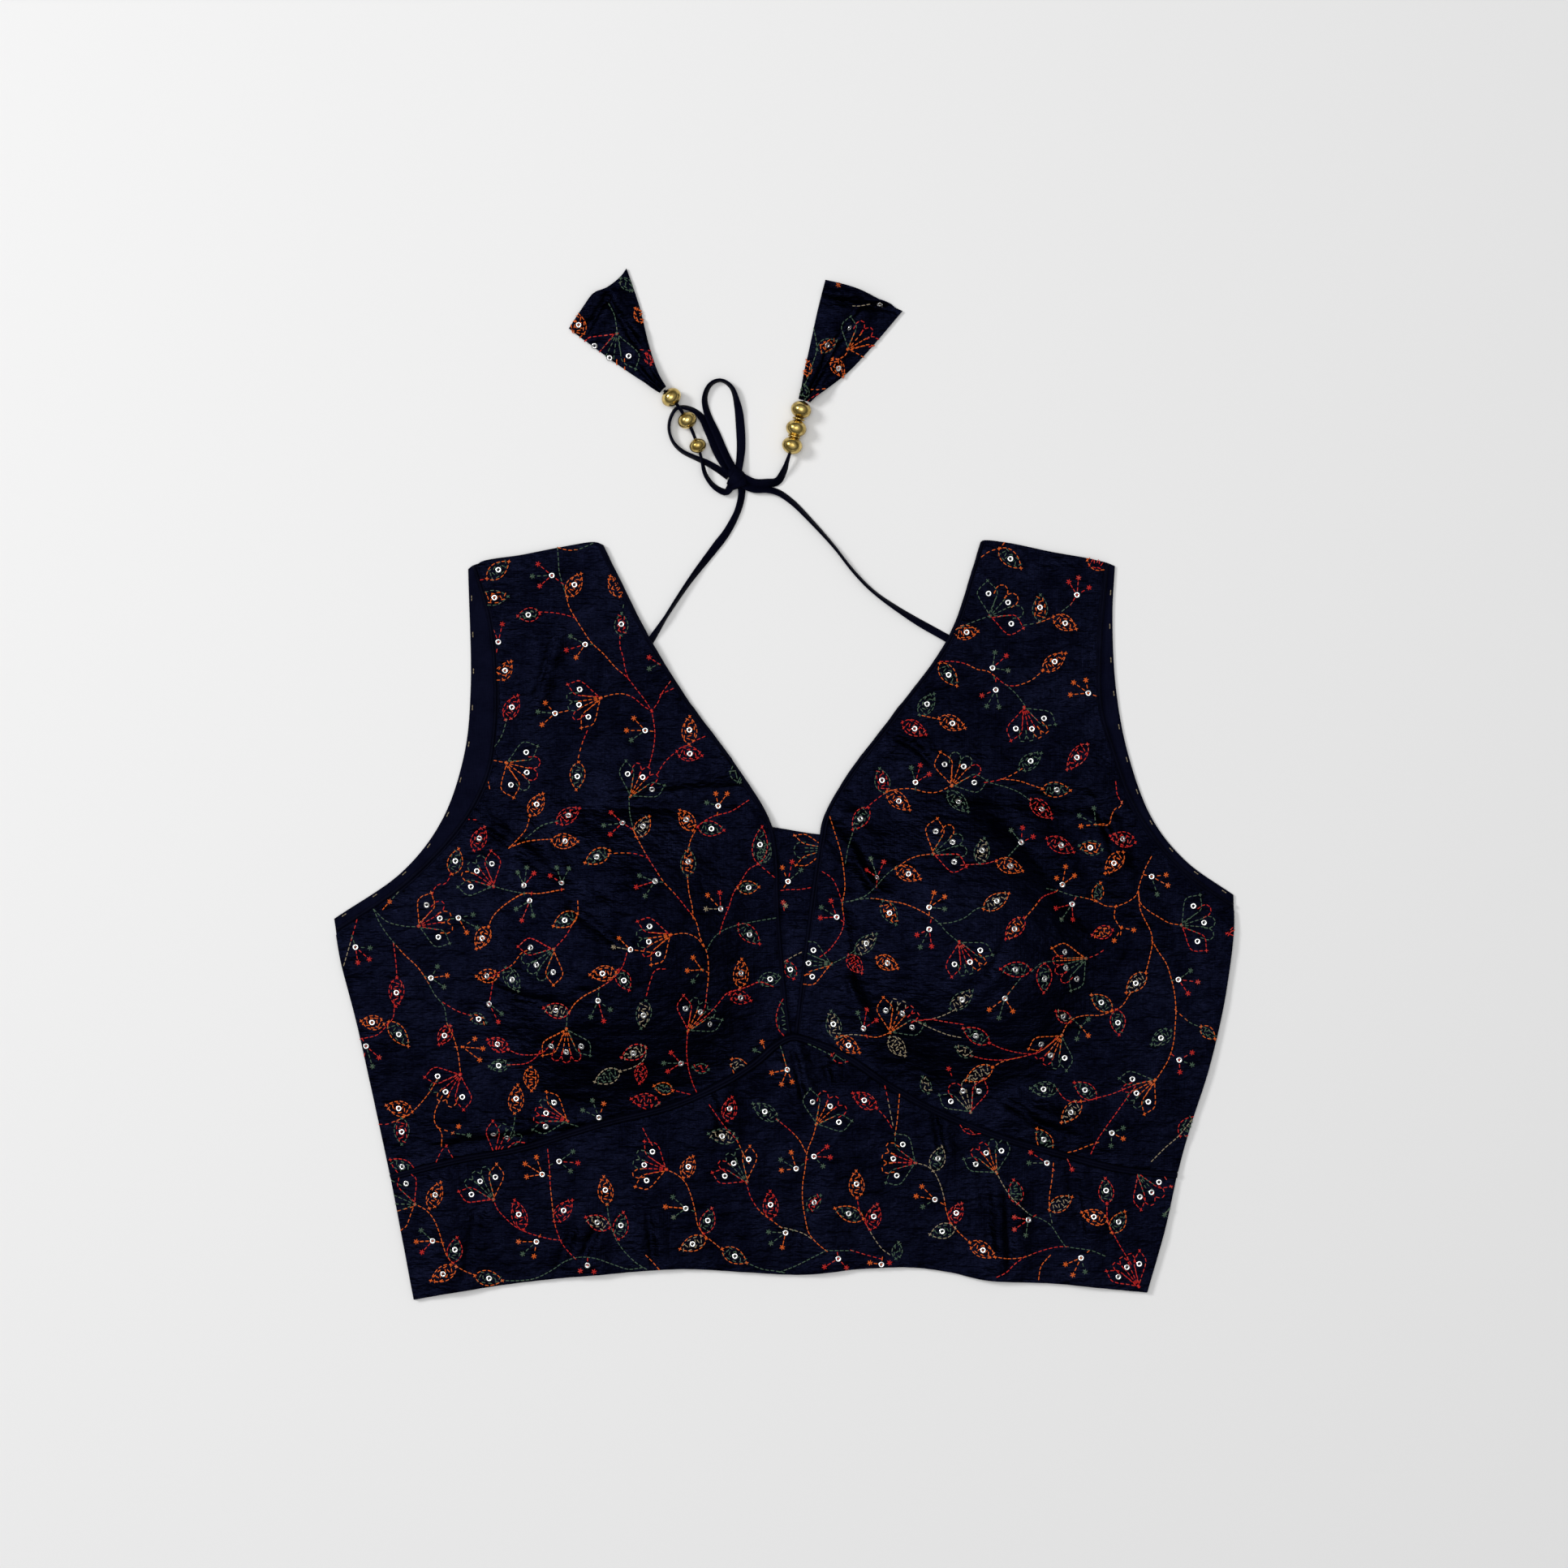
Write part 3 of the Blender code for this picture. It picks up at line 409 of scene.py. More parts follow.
def front_top(x, y):
    """Outer face of the fronts, with the silk's creases, gathers and soft unevenness."""
    side = "left" if np.mean(x) < 0 else "right"
    detail = (crease_height(FRONT_CREASES, x, y) + slack_height(FRONT_SLACK, x, y)
              + gather_height(ARMHOLES[side], ARMHOLE_GATHERS, x, y)
              + gather_height(NECKS[side], NECK_GATHERS, x, y)
              + gather_height(SEAM, SEAM_GATHERS, x, y))
    return np.maximum(front_height(x, y) + FRONT_WALL + detail, FRONT_Z + SHELL)


def band_top(x, y):
    """Outer face of the band."""
    detail = (crease_height(BAND_CREASES, x, y) + slack_height(BAND_SLACK, x, y)
              + gather_height(SEAM, SEAM_GATHERS, x, y)
              + gather_height(HEM_PATH, HEM_GATHERS, x, y))
    return np.maximum(band_height(x, y) + BAND_WALL + detail, FRONT_Z + SHELL)


def inset_top(x, y):
    """Outer face of the inset."""
    return INSET_Z + INSET_WALL + slack_height(INSET_SLACK, x, y) + crease_height(INSET_CREASES, x, y)


# Shader sockets as Python values

class Shade:
    """A socket of a material: arithmetic on it adds Math nodes, and add() adds any other node."""

    def __init__(self, tree, socket=None):
        self.tree, self.socket = tree, socket

    def add(self, kind, settings=None, sockets=None, output=0):
        node = self.tree.nodes.new("ShaderNode" + kind)
        for name, value in (settings or {}).items():
            if name == "stops":
                while len(node.color_ramp.elements) < len(value):
                    node.color_ramp.elements.new(1.0)
                for stop, (place, colour) in zip(node.color_ramp.elements, value):
                    stop.position, stop.color = place, (*colour, 1.0)
            else:
                setattr(node, name, value)
        for name, value in (sockets or {}).items():
            if isinstance(value, Shade):
                self.tree.links.new(value.socket, node.inputs[name])
            else:
                node.inputs[name].default_value = value
        return Shade(self.tree, node.outputs[output])

    def maths(self, operation, first, second):
        return self.add("Math", {"operation": operation}, {0: first, 1: second})

    def __add__(self, other):
        return self.maths("ADD", self, other)

    def __sub__(self, other):
        return self.maths("SUBTRACT", self, other)

    def __mul__(self, other):
        return self.maths("MULTIPLY", self, other)

    def __rsub__(self, other):
        return self.maths("SUBTRACT", other, self)

    __radd__, __rmul__ = __add__, __mul__

    def within(self, low, high):
        """0 where the value is below low, 1 above high, and even between them."""
        return self.add("MapRange", {"clamp": True}, {"Value": self, "From Min": low, "From Max": high})

    def mixed(self, first, second):
        """First colour where the value is 0, second where it is 1."""
        return self.add("Mix", {"data_type": "RGBA"}, {"Factor": self, "A": as_colour(first),
                                                       "B": as_colour(second)}, 2)


def as_colour(value):
    """A colour with its alpha, or a socket as it is."""
    return value if isinstance(value, Shade) else (*value, 1.0)


def new_material(name, constants):
    """A material with its Principled shader's own values, its shader, and a handle for its nodes."""
    material = bpy.data.materials.new(name)
    material.use_nodes = True
    shader = material.node_tree.nodes["Principled BSDF"]
    for socket, value in constants.items():
        shader.inputs[socket].default_value = value
    return material, shader, Shade(material.node_tree)


def connect(shade, shader, name):
    shade.tree.links.new(shade.socket, shader.inputs[name])


def noise(nodes, place, scale, detail, roughness=0.5):
    """Cloudy noise; a larger scale makes it finer."""
    return nodes.add("TexNoise", None, {"Vector": place, "Scale": scale, "Detail": detail,
                                        "Roughness": roughness})


def threads(nodes, place, scale, turn):
    """Soft long streaks as uneven threads lie, finer across than along, turned by an angle."""
    turned = nodes.add("Mapping", None, {"Vector": place, "Rotation": (0.0, 0.0, turn), "Scale": scale})
    return noise(nodes, turned, 1.0, 3.0, 0.6)


def bump(nodes, strength, distance, height, normal=None):
    """The bumped normal, its distance in metres, over another normal if one is given."""
    sockets = {"Strength": strength, "Distance": distance, "Height": height}
    return nodes.add("Bump", None, {**sockets, "Normal": normal} if normal else sockets)


# Silk tones: the lighter one lies along slub threads and on mottled patches of painted sheen.
SILK_DARK, SILK_LIGHT = (0.0003, 0.0004, 0.0019), (0.0042, 0.0052, 0.0150)
SATIN_GRIP = 0.5


def silk_material(name, grain):
    """Navy art silk: slubby threads both ways, mottled patches of painted sheen in its colour, and a
    sheen that runs across the grain, in degrees.
    """
    material, shader, nodes = new_material(name, {
        "Metallic": 1.0, "Specular Tint": (0.30, 0.34, 0.55, 1.0)})
    place = nodes.add("TexCoord", None, None, 3)
    turn = math.radians(grain)
    warp = threads(nodes, place, (2600.0, 60.0, 60.0), -turn)
    weft = threads(nodes, place, (50.0, 1900.0, 50.0), -turn)
    mottle = noise(nodes, place, 95.0, 5.0, 0.68)
    broad = noise(nodes, place, 14.0, 2.0)
    # Colour: lighter along the slub threads, and in mottled patches that are painted sheen.
    slubs_and_painted_sheen = (warp * 0.35 + weft * 0.45 + mottle * 0.9 + broad * 0.5).within(0.80, 1.38)
    connect(slubs_and_painted_sheen.mixed(SILK_DARK, SILK_LIGHT), shader, "Base Color")
    connect(0.43 - 0.16 * (0.5 * weft + 0.5 * mottle), shader, "Roughness")
    normal = nodes.add("NewGeometry", None, None, 1)
    across = (math.cos(turn), math.sin(turn), 0.0)
    share = nodes.add("VectorMath", {"operation": "DOT_PRODUCT"}, {0: normal, 1: across}, 1)
    sideways = nodes.add("VectorMath", {"operation": "SCALE"}, {0: across, "Scale": share * SATIN_GRIP})
    eased = nodes.add("VectorMath", {"operation": "SUBTRACT"}, {0: normal, 1: sideways})
    unit = nodes.add("VectorMath", {"operation": "NORMALIZE"}, {0: eased})
    crinkle = threads(nodes, place, (70.0, 150.0, 70.0), -turn)
    creased = bump(nodes, 0.7, 0.005, crinkle, unit)
    connect(bump(nodes, 0.6, 0.0005, warp * 0.7 + weft, creased), shader, "Normal")
    return material


PLAIN_FINE, PLAIN_LONG = 2200.0, 2200.0 / 9


def plain_cloth(name, dark, light, roughness):
    """A plain matt weave for the lining and the turned strips."""
    material, shader, nodes = new_material(name, {"Specular IOR Level": 0.03,
                                                  "Specular Tint": (0.5, 0.55, 1.0, 1.0)})
    place = nodes.add("TexCoord", None, None, 3)
    warp = threads(nodes, place, (PLAIN_FINE, PLAIN_LONG, PLAIN_LONG), 0.6)
    weft = threads(nodes, place, (PLAIN_LONG, PLAIN_FINE, PLAIN_LONG), 0.6)
    mottle = noise(nodes, place, 90.0, 3.0)
    connect((warp * 0.4 + weft * 0.4 + mottle * 0.6).within(0.5, 0.9).mixed(dark, light),
            shader, "Base Color")
    connect(roughness + 0.15 * (mottle - 0.5), shader, "Roughness")
    connect(bump(nodes, 0.5, 0.0002, warp + weft), shader, "Normal")
    return material


# Threads by letter: place on the colour ramp, and where each colour of it starts. W is the pale cotton.
DYES = {"R": 0.05, "O": 0.25, "S": 0.45, "W": 0.65}
DYE_STOPS = ((0.0, (0.50, 0.013, 0.010)), (0.15, (0.66, 0.105, 0.008)), (0.35, (0.050, 0.095, 0.060)),
             (0.55, (0.27, 0.22, 0.14)))
# Pale colour mixed into the threads in random patches.
PALE_THREAD_PATCH = (0.62, 0.50, 0.36)


def thread_material():
    """Embroidery cotton: its colour comes from the stitches' own dye, uneven along each one."""
    material, shader, nodes = new_material("Thread", {"Roughness": 0.6, "Specular IOR Level": 0.25})
    place = nodes.add("TexCoord", None, None, 3)
    dye = nodes.add("Attribute", {"attribute_name": "dye"}, None, 2)
    colours = nodes.add("ValToRGB", {"stops": DYE_STOPS}, {"Fac": dye})
    colours.socket.node.color_ramp.interpolation = "CONSTANT"
    # Threads paler in random patches.
    pale_patches = noise(nodes, place, 420.0, 2.0).within(0.55, 0.75) * 0.15
    connect(pale_patches.mixed(colours, PALE_THREAD_PATCH), shader, "Base Color")
    connect(bump(nodes, 0.5, 0.0002, noise(nodes, place, 2600.0, 1.0)), shader, "Normal")
    return material


def metal_material(name, dark, light, rough_low, rough_high):
    """Plated metal: rubbed bright in places, duller and darker in others."""
    material, shader, nodes = new_material(name, {"Metallic": 1.0})
    place = nodes.add("TexCoord", None, None, 3)
    patina = noise(nodes, place, 260.0, 4.0).within(0.38, 0.62)
    connect(patina.mixed(dark, light), shader, "Base Color")
    connect(rough_high - (rough_high - rough_low) * patina, shader, "Roughness")
    connect(bump(nodes, 0.2, 0.00015, noise(nodes, place, 1500.0, 2.0)), shader, "Normal")
    return material


# Silk of each panel, by the angle of its grain.
GRAINS = {"front_left": 16.3, "front_right": -14.0, "band": 90.0}
SILKS = {panel: silk_material("Silk " + panel.split("_")[-1], grain) for panel, grain in GRAINS.items()}
TRIM_SILK = plain_cloth("Bias strip", (0.0004, 0.0005, 0.0024), (0.0020, 0.0024, 0.0080), 0.5)
LINING = plain_cloth("Lining", (0.0008, 0.0010, 0.0050), (0.0030, 0.0036, 0.0125), 0.7)
TIE_CLOTH = plain_cloth("Turned strip", (0.0004, 0.0005, 0.0026), (0.0018, 0.0020, 0.0080), 0.55)
THREAD = thread_material()
GOLD = metal_material("Antique gold", (0.34, 0.235, 0.065), (0.76, 0.57, 0.20), 0.16, 0.30)
SEQUIN = metal_material("Silver sequin", (0.62, 0.62, 0.62), (0.93, 0.93, 0.92), 0.12, 0.3)

FLOOR_WHITE, FLOOR_REACH, FLOOR_Z = (0.82, 0.82, 0.82, 1.0), 9.0, -0.0003
# Sky light by height, from the horizon to overhead.
SKY = ((0.0, 0.85), (0.12, 0.55), (0.22, 0.08), (0.42, 0.16), (0.72, 0.50), (1.0, 1.05))
SKY_STRENGTH = 0.75
# Lights over the blouse: place and size in metres, and power in watts.
TOP_LIGHT = (0.0, 0.10, 2.6, 1.6, 22.0)
KEY_LIGHT = (-1.8, 1.0, 2.0, 0.7, 36.0)
LIGHTS_AIM = (0.0, 0.05, 0.0)


def add_object(name, data):
    """A new object in the scene."""
    made = bpy.data.objects.new(name, data)
    bpy.context.scene.collection.objects.link(made)
    return made


def make_floor():
    """Plain pale floor under everything."""
    mesh = bpy.data.meshes.new("floor")
    corners = [(x * FLOOR_REACH, y * FLOOR_REACH, FLOOR_Z)
               for x, y in ((-1, -1), (1, -1), (1, 1), (-1, 1))]
    mesh.from_pydata(corners, [], [(0, 1, 2, 3)])
    mesh.materials.append(new_material("Floor", {"Roughness": 0.95, "Base Color": FLOOR_WHITE})[0])
    add_object("floor", mesh)


def make_light(name, x, y, z, size, power):
    """A square soft light aimed at the blouse."""
    lamp = bpy.data.lights.new(name, "AREA")
    lamp.shape, lamp.size, lamp.energy = "SQUARE", size, power
    light = add_object(name, lamp)
    light.location = (x, y, z)
    aim = np.array(LIGHTS_AIM) - np.array((x, y, z))
    light.rotation_euler = mathutils.Vector(aim).to_track_quat("-Z", "Y").to_euler()


def make_camera():
    """Camera straight above the middle of the photographed square, as the photograph was taken."""
    data = bpy.data.cameras.new("camera")
    data.lens, data.sensor_width = LENS, SENSOR
    camera = add_object("camera", data)
    camera.location = (*VIEW_CENTRE, VIEW_HEIGHT)
    bpy.context.scene.camera = camera


def make_studio():
    """Even soft light from all round, one broad light above and one from the upper left."""
    world = bpy.data.worlds.new("studio")
    world.use_nodes = True
    sky = Shade(world.node_tree)
    height = sky.add("SeparateXYZ", None, {"Vector": sky.add("TexCoord")}, 2)
    bright = sky.add("ValToRGB", {"stops": [(share, (level, level, level)) for share, level in SKY]},
                     {"Fac": height})
    background = world.node_tree.nodes["Background"]
    world.node_tree.links.new(bright.socket, background.inputs["Color"])
    background.inputs["Strength"].default_value = SKY_STRENGTH
    bpy.context.scene.world = world
    bpy.context.scene.view_settings.view_transform = "Standard"
    make_light("softbox", *TOP_LIGHT)
    make_light("key", *KEY_LIGHT)


# Meshes

def new_piece(name, points, faces, material, edges=()):
    """A smooth mesh from points in millimetres."""
    mesh = bpy.data.meshes.new(name)
    mesh.from_pydata((np.asarray(points, float).reshape(-1, 3) * MM).tolist(), list(edges), list(faces))
    mesh.update()
    mesh.materials.append(material)
    mesh.shade_smooth()
    return add_object(name, mesh)


def settle(piece, slot, *nodes):
    """The finished piece rides on the blouse and stands for its CAD nodes; slot is not used."""
    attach(piece, "root")
    if nodes:
        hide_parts(*nodes)
    return piece


def grid_faces(rows, columns):
    """Faces of a grid whose rows run down and whose columns run to the right, facing up."""
    return [(i * columns + j, (i + 1) * columns + j, (i + 1) * columns + j + 1, i * columns + j + 1)
            for i in range(rows - 1) for j in range(columns - 1)]


def shell(name, places, top, wall, material, slot):
    """A thin cloth shell: a fine grid on its outer face, a wall below it, and a softened rim."""
    z = top(places[..., 0], places[..., 1]) if callable(top) else top
    points = np.concatenate((places, z[..., None]), axis=2)
    piece = new_piece("cloth_" + name, points, grid_faces(*places.shape[:2]), material)
    solid = piece.modifiers.new("Wall", "SOLIDIFY")
    solid.thickness = wall * MM
    solid.offset = -1.0
    rim = piece.modifiers.new("Rim", "BEVEL")
    rim.width, rim.segments = EDGE_ROUND * MM, 2
    rim.limit_method, rim.angle_limit = "ANGLE", math.radians(60.0)
    settle(piece, slot, name)
    return piece, surface_area(points)


def surface_area(points):
    """Area of a grid of points in square metres, when their unit is the millimetre."""
    low, high, left, right = points[1:, :-1], points[:-1, 1:], points[:-1, :-1], points[1:, 1:]
    halves = (np.linalg.norm(np.cross(low - left, high - left), axis=2)
              + np.linalg.norm(np.cross(low - right, high - right), axis=2))
    return float(halves.sum() / 2) * MM * MM


def sweep_frames(path):
    """Unit vectors level to the path's left, and up square to it."""
    along = directions(path)
    left = np.column_stack((-along[:, 1], along[:, 0], np.zeros(len(along))))
    left /= np.linalg.norm(left, axis=1)[:, None]
    return left, np.cross(along, left)


def ring_faces(count, sides, last, base=0):
    """Faces between count rings of points, from the first ring on, last of them in all."""
    return [(base + i * sides + j, base + i * sides + (j + 1) % sides,
             base + (i + 1) % count * sides + (j + 1) % sides, base + (i + 1) % count * sides + j)
            for i in range(last) for j in range(sides)]


def swept(name, path, sections, material):
    """A tube whose ring at each point of the path is that row of sections, as left and up."""
    left, up = sweep_frames(path)
    rings = path[:, None] + sections[..., :1] * left[:, None] + sections[..., 1:] * up[:, None]
    count, sides = sections.shape[:2]
    faces = ring_faces(count, sides, count - 1)
    faces += [tuple(range(sides))[::-1], tuple(range((count - 1) * sides, count * sides))]
    piece = new_piece(name, rings, faces, material)
    face_outwards(piece)
    return piece


def face_outwards(piece):
    """Recalculates the faces of a closed mesh to point outwards."""
    bm = bmesh.new()
    bm.from_mesh(piece.data)
    bmesh.ops.recalc_face_normals(bm, faces=bm.faces)
    bm.to_mesh(piece.data)
    bm.free()


# A bias strip's section from its outer to its inner side: a full roll, a stitched groove, a flat lip.
STRIP_SECTION = np.array(route("""-1.45,0.25 -1.5,0.95 -1.2,1.65 -0.62,2.05 -0.05,1.85 0.22,1.35
    0.48,1.15 0.78,1.42 1.15,1.4 1.42,1.0 1.5,0.5 1.2,0.08 0.3,0.0 -0.9,0.02"""))
STRIP_STEP = 1.4


def strip(name, middle, height, outer, seed):
    """A binding or piping along the path; outer is 1 if its full roll is on the path's left."""
    middle = evenly(middle, int(lengths_along(middle)[-1] / STRIP_STEP))
    path = np.column_stack((middle, height(middle[:, 0], middle[:, 1])))
    run = lengths_along(path)
    fat = 1.0 + 0.10 * ripple(run, run * 0.0, 7.0, seed) + 0.05 * ripple(run, run * 0.0, 2.6, seed + 1)
    sections = STRIP_SECTION[None] * fat[:, None, None] * np.array((-outer, 1.0))
    settle(swept("strip_" + name, path, sections, TRIM_SILK), "silk", name)


def tie_route(name):
    """The route of a tie in 3-D, cut off at the knot as its solid is."""
    path = smooth_path(CORD_ROUTES[name], FINE)
    reach = np.array(KNOT_SIZE) / 2
    centre = np.array((*KNOT_CENTRE, reach[2]))
    inside = np.linalg.norm((path - centre) / (reach + KNOT_GAP), axis=1) < KNOT_CUT
    return path[~inside]


def make_tie(name):
    """A flat turned strip of cloth that twists along its route, lying on what is under it."""
    path = tie_route(name)
    length = lengths_along(path)[-1]
    path = evenly(path, int(length / TIE_STEP))
    share = np.linspace(0.0, 1.0, len(path))
    turn = np.radians(np.interp(share, *zip(*CORD_TURNS[name])))
    width = np.full(len(path), TIE_WIDTH)
    if name.startswith("tail"):
        width = np.interp(path[:, 1], TAIL_NARROWS, (TIE_WIDTH, TAIL_WIDTH))
    width *= 1.0 + 0.05 * ripple(share * length, share * 0.0, 6.0, len(name))
    tall = np.hypot(width / 2 * np.sin(turn), TIE_THICKNESS / 2 * np.cos(turn))
    path[:, 2] = np.maximum(path[:, 2], tall + TIE_LIFT)
    path[:, 2] = np.convolve(np.pad(path[:, 2], 3, "edge"), np.ones(7) / 7, "valid")
    angle = 2 * math.pi * np.arange(TIE_SIDES) / TIE_SIDES
    flat = np.sign(np.cos(angle)) * np.abs(np.cos(angle)) ** 0.8
    aside = width[:, None] / 2 * flat[None]
    up = TIE_THICKNESS / 2 * np.sin(angle) * (1 - 0.25 * np.exp(-(flat / 0.35) ** 2))[None]
    cos, sin = np.cos(turn)[:, None], np.sin(turn)[:, None]
    sections = np.stack((aside * cos - up * sin, aside * sin + up * cos), axis=2)
    return settle(swept("tie_" + name, path, sections, TIE_CLOTH), "cord", name), path, length


# Strips wound into the knot: shift of the centre, half size across and up, turn in plan and lean.
KNOT_WRAPS = (
    (0.0, 0.2, 0.2, 4.2, 2.75, 62.0, 0.0),
    (0.7, -1.8, 0.0, 3.8, 2.45, 20.0, 6.0),
    (-0.6, 1.6, -0.1, 3.7, 2.4, 122.0, -6.0),
)
WRAP_STEPS, WRAP_SIDES, WRAP_FLATTEN = 40, 12, 0.72
WRAP_HALF_WIDTH, WRAP_HALF_THICKNESS = 2.8, 0.75


def make_knot():
    """The tied knot: strips wound over one another."""
    angle = np.linspace(0.0, 2 * math.pi, WRAP_STEPS, endpoint=False)
    around = 2 * math.pi * np.arange(WRAP_SIDES)[None, :, None] / WRAP_SIDES
    points, faces = [], []
    for x, y, z, wide, high, turn, lean in KNOT_WRAPS:
        turn, lean = math.radians(turn), math.radians(lean)
        centre = np.array((KNOT_CENTRE[0] + x, KNOT_CENTRE[1] + y, KNOT_SIZE[2] / 2 + z))
        out, up = wide * np.cos(angle), high * WRAP_FLATTEN * np.sin(angle)
        outward = np.column_stack((out * math.cos(turn), out * math.sin(turn),
                                   up + out * math.sin(lean)))
        path = centre + outward
        outward /= np.linalg.norm(outward, axis=1)[:, None]
        axis = np.array((-math.sin(turn), math.cos(turn), 0.0))
        rings = (path[:, None] + WRAP_HALF_WIDTH * np.cos(around) * axis
                 + WRAP_HALF_THICKNESS * np.sin(around) * outward[:, None])
        faces += ring_faces(WRAP_STEPS, WRAP_SIDES, WRAP_STEPS, len(points) * WRAP_STEPS * WRAP_SIDES)
        points.append(rings)
    piece = new_piece("tie_knot", points, faces, TIE_CLOTH)
    face_outwards(piece)
    settle(piece, "cord", "knot")


def turned_faces(sides, count):
    """Faces of a closed section of count points, turned round an axis in sides steps."""
    return [(i * count + j, (i + 1) % sides * count + j, (i + 1) % sides * count + (j + 1) % count,
             i * count + (j + 1) % count) for i in range(sides) for j in range(count)]


def lathe(name, profile, centre, axis, sides=36):
    """A closed profile of radius and distance along the axis, turned round it."""
    axis = np.array(axis, float) / np.linalg.norm(axis)
    side = np.cross(axis, (0.0, 0.0, 1.0))
    side /= np.linalg.norm(side)
    up = np.cross(side, axis)
    angle = 2 * math.pi * np.arange(sides) / sides
    ring = np.cos(angle)[:, None] * side + np.sin(angle)[:, None] * up
    profile = np.array(profile, float)
    points = np.array(centre) + profile[None, :, :1] * ring[:, None] + profile[None, :, 1:] * axis
    piece = new_piece("gold_" + name, points, turned_faces(sides, len(profile)), GOLD)
    face_outwards(piece)
    return piece


def bead_profile(radius, half):
    """Closed section of a bead: its bore, a rounded rim at both ends, and the full body between."""
    bore = BEAD_BORE / 2
    body = [(radius * math.cos(a), half * 1.04 * math.sin(a)) for a in np.linspace(-1.24, 1.24, 19)]
    low = [(bore, -0.90 * half), (bore + 0.04, -0.99 * half), (bore + 0.12, -1.0 * half)]
    return low + body + [(r, -z) for r, z in low[::-1]]


def make_beads():
    """The six beads on the tails, and the two thin discs between the right ones."""
    beads = {"left": [], "right": []}
    for tail, found in beads.items():
        path = smooth_path(CORD_ROUTES["tail_" + tail], FINE)
        along = np.gradient(path, axis=0)
        for bead in (bead for bead in BEADS if bead.tail == tail):
            name = f"bead_{tail}_{len(found) + 1}"
            nearest = np.argmin(np.hypot(path[:, 0] - bead.x, path[:, 1] - bead.y))
            axis = (along[nearest, 0], along[nearest, 1], 0.0)
            radius, half = bead.scale * BEAD_DIAMETER / 2, bead.scale * BEAD_LENGTH / 2
            piece = lathe(name, bead_profile(radius, half), (bead.x, bead.y, radius), axis)
            found.append(settle(piece, "bead", name))
    for number, place in enumerate(DISCS, 1):
        disc = lathe(f"disc_{number}", DISC_SECTION, (*place, DISC_HEIGHT), DISC_AXIS, 24)
        beads["right"].append(settle(disc, "bead"))
    return beads


def tassel_top(edges):
    """Places and heights of a tassel's outer face."""
    across, down = TASSEL_CELLS
    left, right = smooth_path(edges.left, down + 1)[::-1], smooth_path(edges.right, down + 1)[::-1]
    tip = np.linspace(left[-1], right[-1], across + 1)
    places = between(left, right, smooth_path(edges.far, across + 1), tip)
    x, y = places[..., 0], places[..., 1]
    from_tip = np.linalg.norm(places - tip[across // 2], axis=2)
    share = np.linspace(0.0, 1.0, across + 1)[None, :]
    arch = np.sin(math.pi * share) * np.clip(from_tip / TASSEL_ARCH_LENGTH, 0.0, 1.0)
    height = TASSEL_ARCH * arch + TASSEL_TIP_Z * np.exp(-(from_tip / TASSEL_TIP_LENGTH) ** 2)
    height += (PLEAT_HEIGHT * np.cos(2 * math.pi * PLEATS * share)
               * np.exp(-(from_tip / PLEAT_LENGTH) ** 2))
    height += crease_height(TASSEL_CREASES, x, y) + slack_height(TASSEL_SLACK, x, y)
    return places, np.maximum(height, 0.1) + TASSEL_WALL


# Panels

def front_places(side, sign):
    """Fine grid of a front's places, inside its bindings as its solid is."""
    across, arm, below = FRONT_CELLS
    inward = sign * (TRIM_WIDTH - TUCKED) * TUCK_SHARE
    seam_above = moved_aside(SEAM, TRIM_WIDTH / 2 + GAP)
    lowest = seam_above[0 if sign < 0 else -1, 1]
    outer_arm = moved_aside(smooth_path(side.armhole, arm + 1), -inward)
    below_arm = flank_between(side, outer_arm[-1, 1] - UNDERARM_STEP, lowest, below)
    outer = np.vstack((outer_arm, below_arm))
    inner = moved_aside(smooth_path(side.neck + side.slit[1:], arm + below + 1), inward)
    shoulder = smooth_path(side.shoulder, across + 1)
    bottom = cut_by_x(seam_above, outer[-1, 0], inner[-1, 0], across + 1)
    if sign < 0:
        return between(outer, inner, shoulder, bottom)
    return between(inner, outer, shoulder[::-1], bottom[::-1])


def flank_between(side, y0, y1, count):
    """Side edge between two heights, at count points."""
    edge = smooth_path(side.flank, FINE)[::-1]
    y = np.linspace(y0, y1, count)
    return np.column_stack((np.interp(y, edge[:, 1], edge[:, 0]), y))


def cut_by_x(path, x0, x1, count):
    """The stretch of a path between two X values, at count points."""
    x = np.linspace(x0, x1, count)
    return np.column_stack((x, np.interp(x, path[:, 0], path[:, 1])))


def back_places(side, neck, middle, hem, count, across):
    """Fine grid of half of the back, from the neck's lowest point outwards."""
    armhole, flank = smooth_path(side.back_armhole, count), smooth_path(side.flank, count)
    outer = evenly(np.vstack((armhole, flank[1:])), 2 * count)
    outer[:count] = armhole
    outer[count:] = smooth_path(side.flank, count + 1)[1:]
    inner = np.vstack((neck, np.linspace(neck[-1], middle, count + 1)[1:]))
    return between(outer, inner, smooth_path(side.shoulder, across), hem)


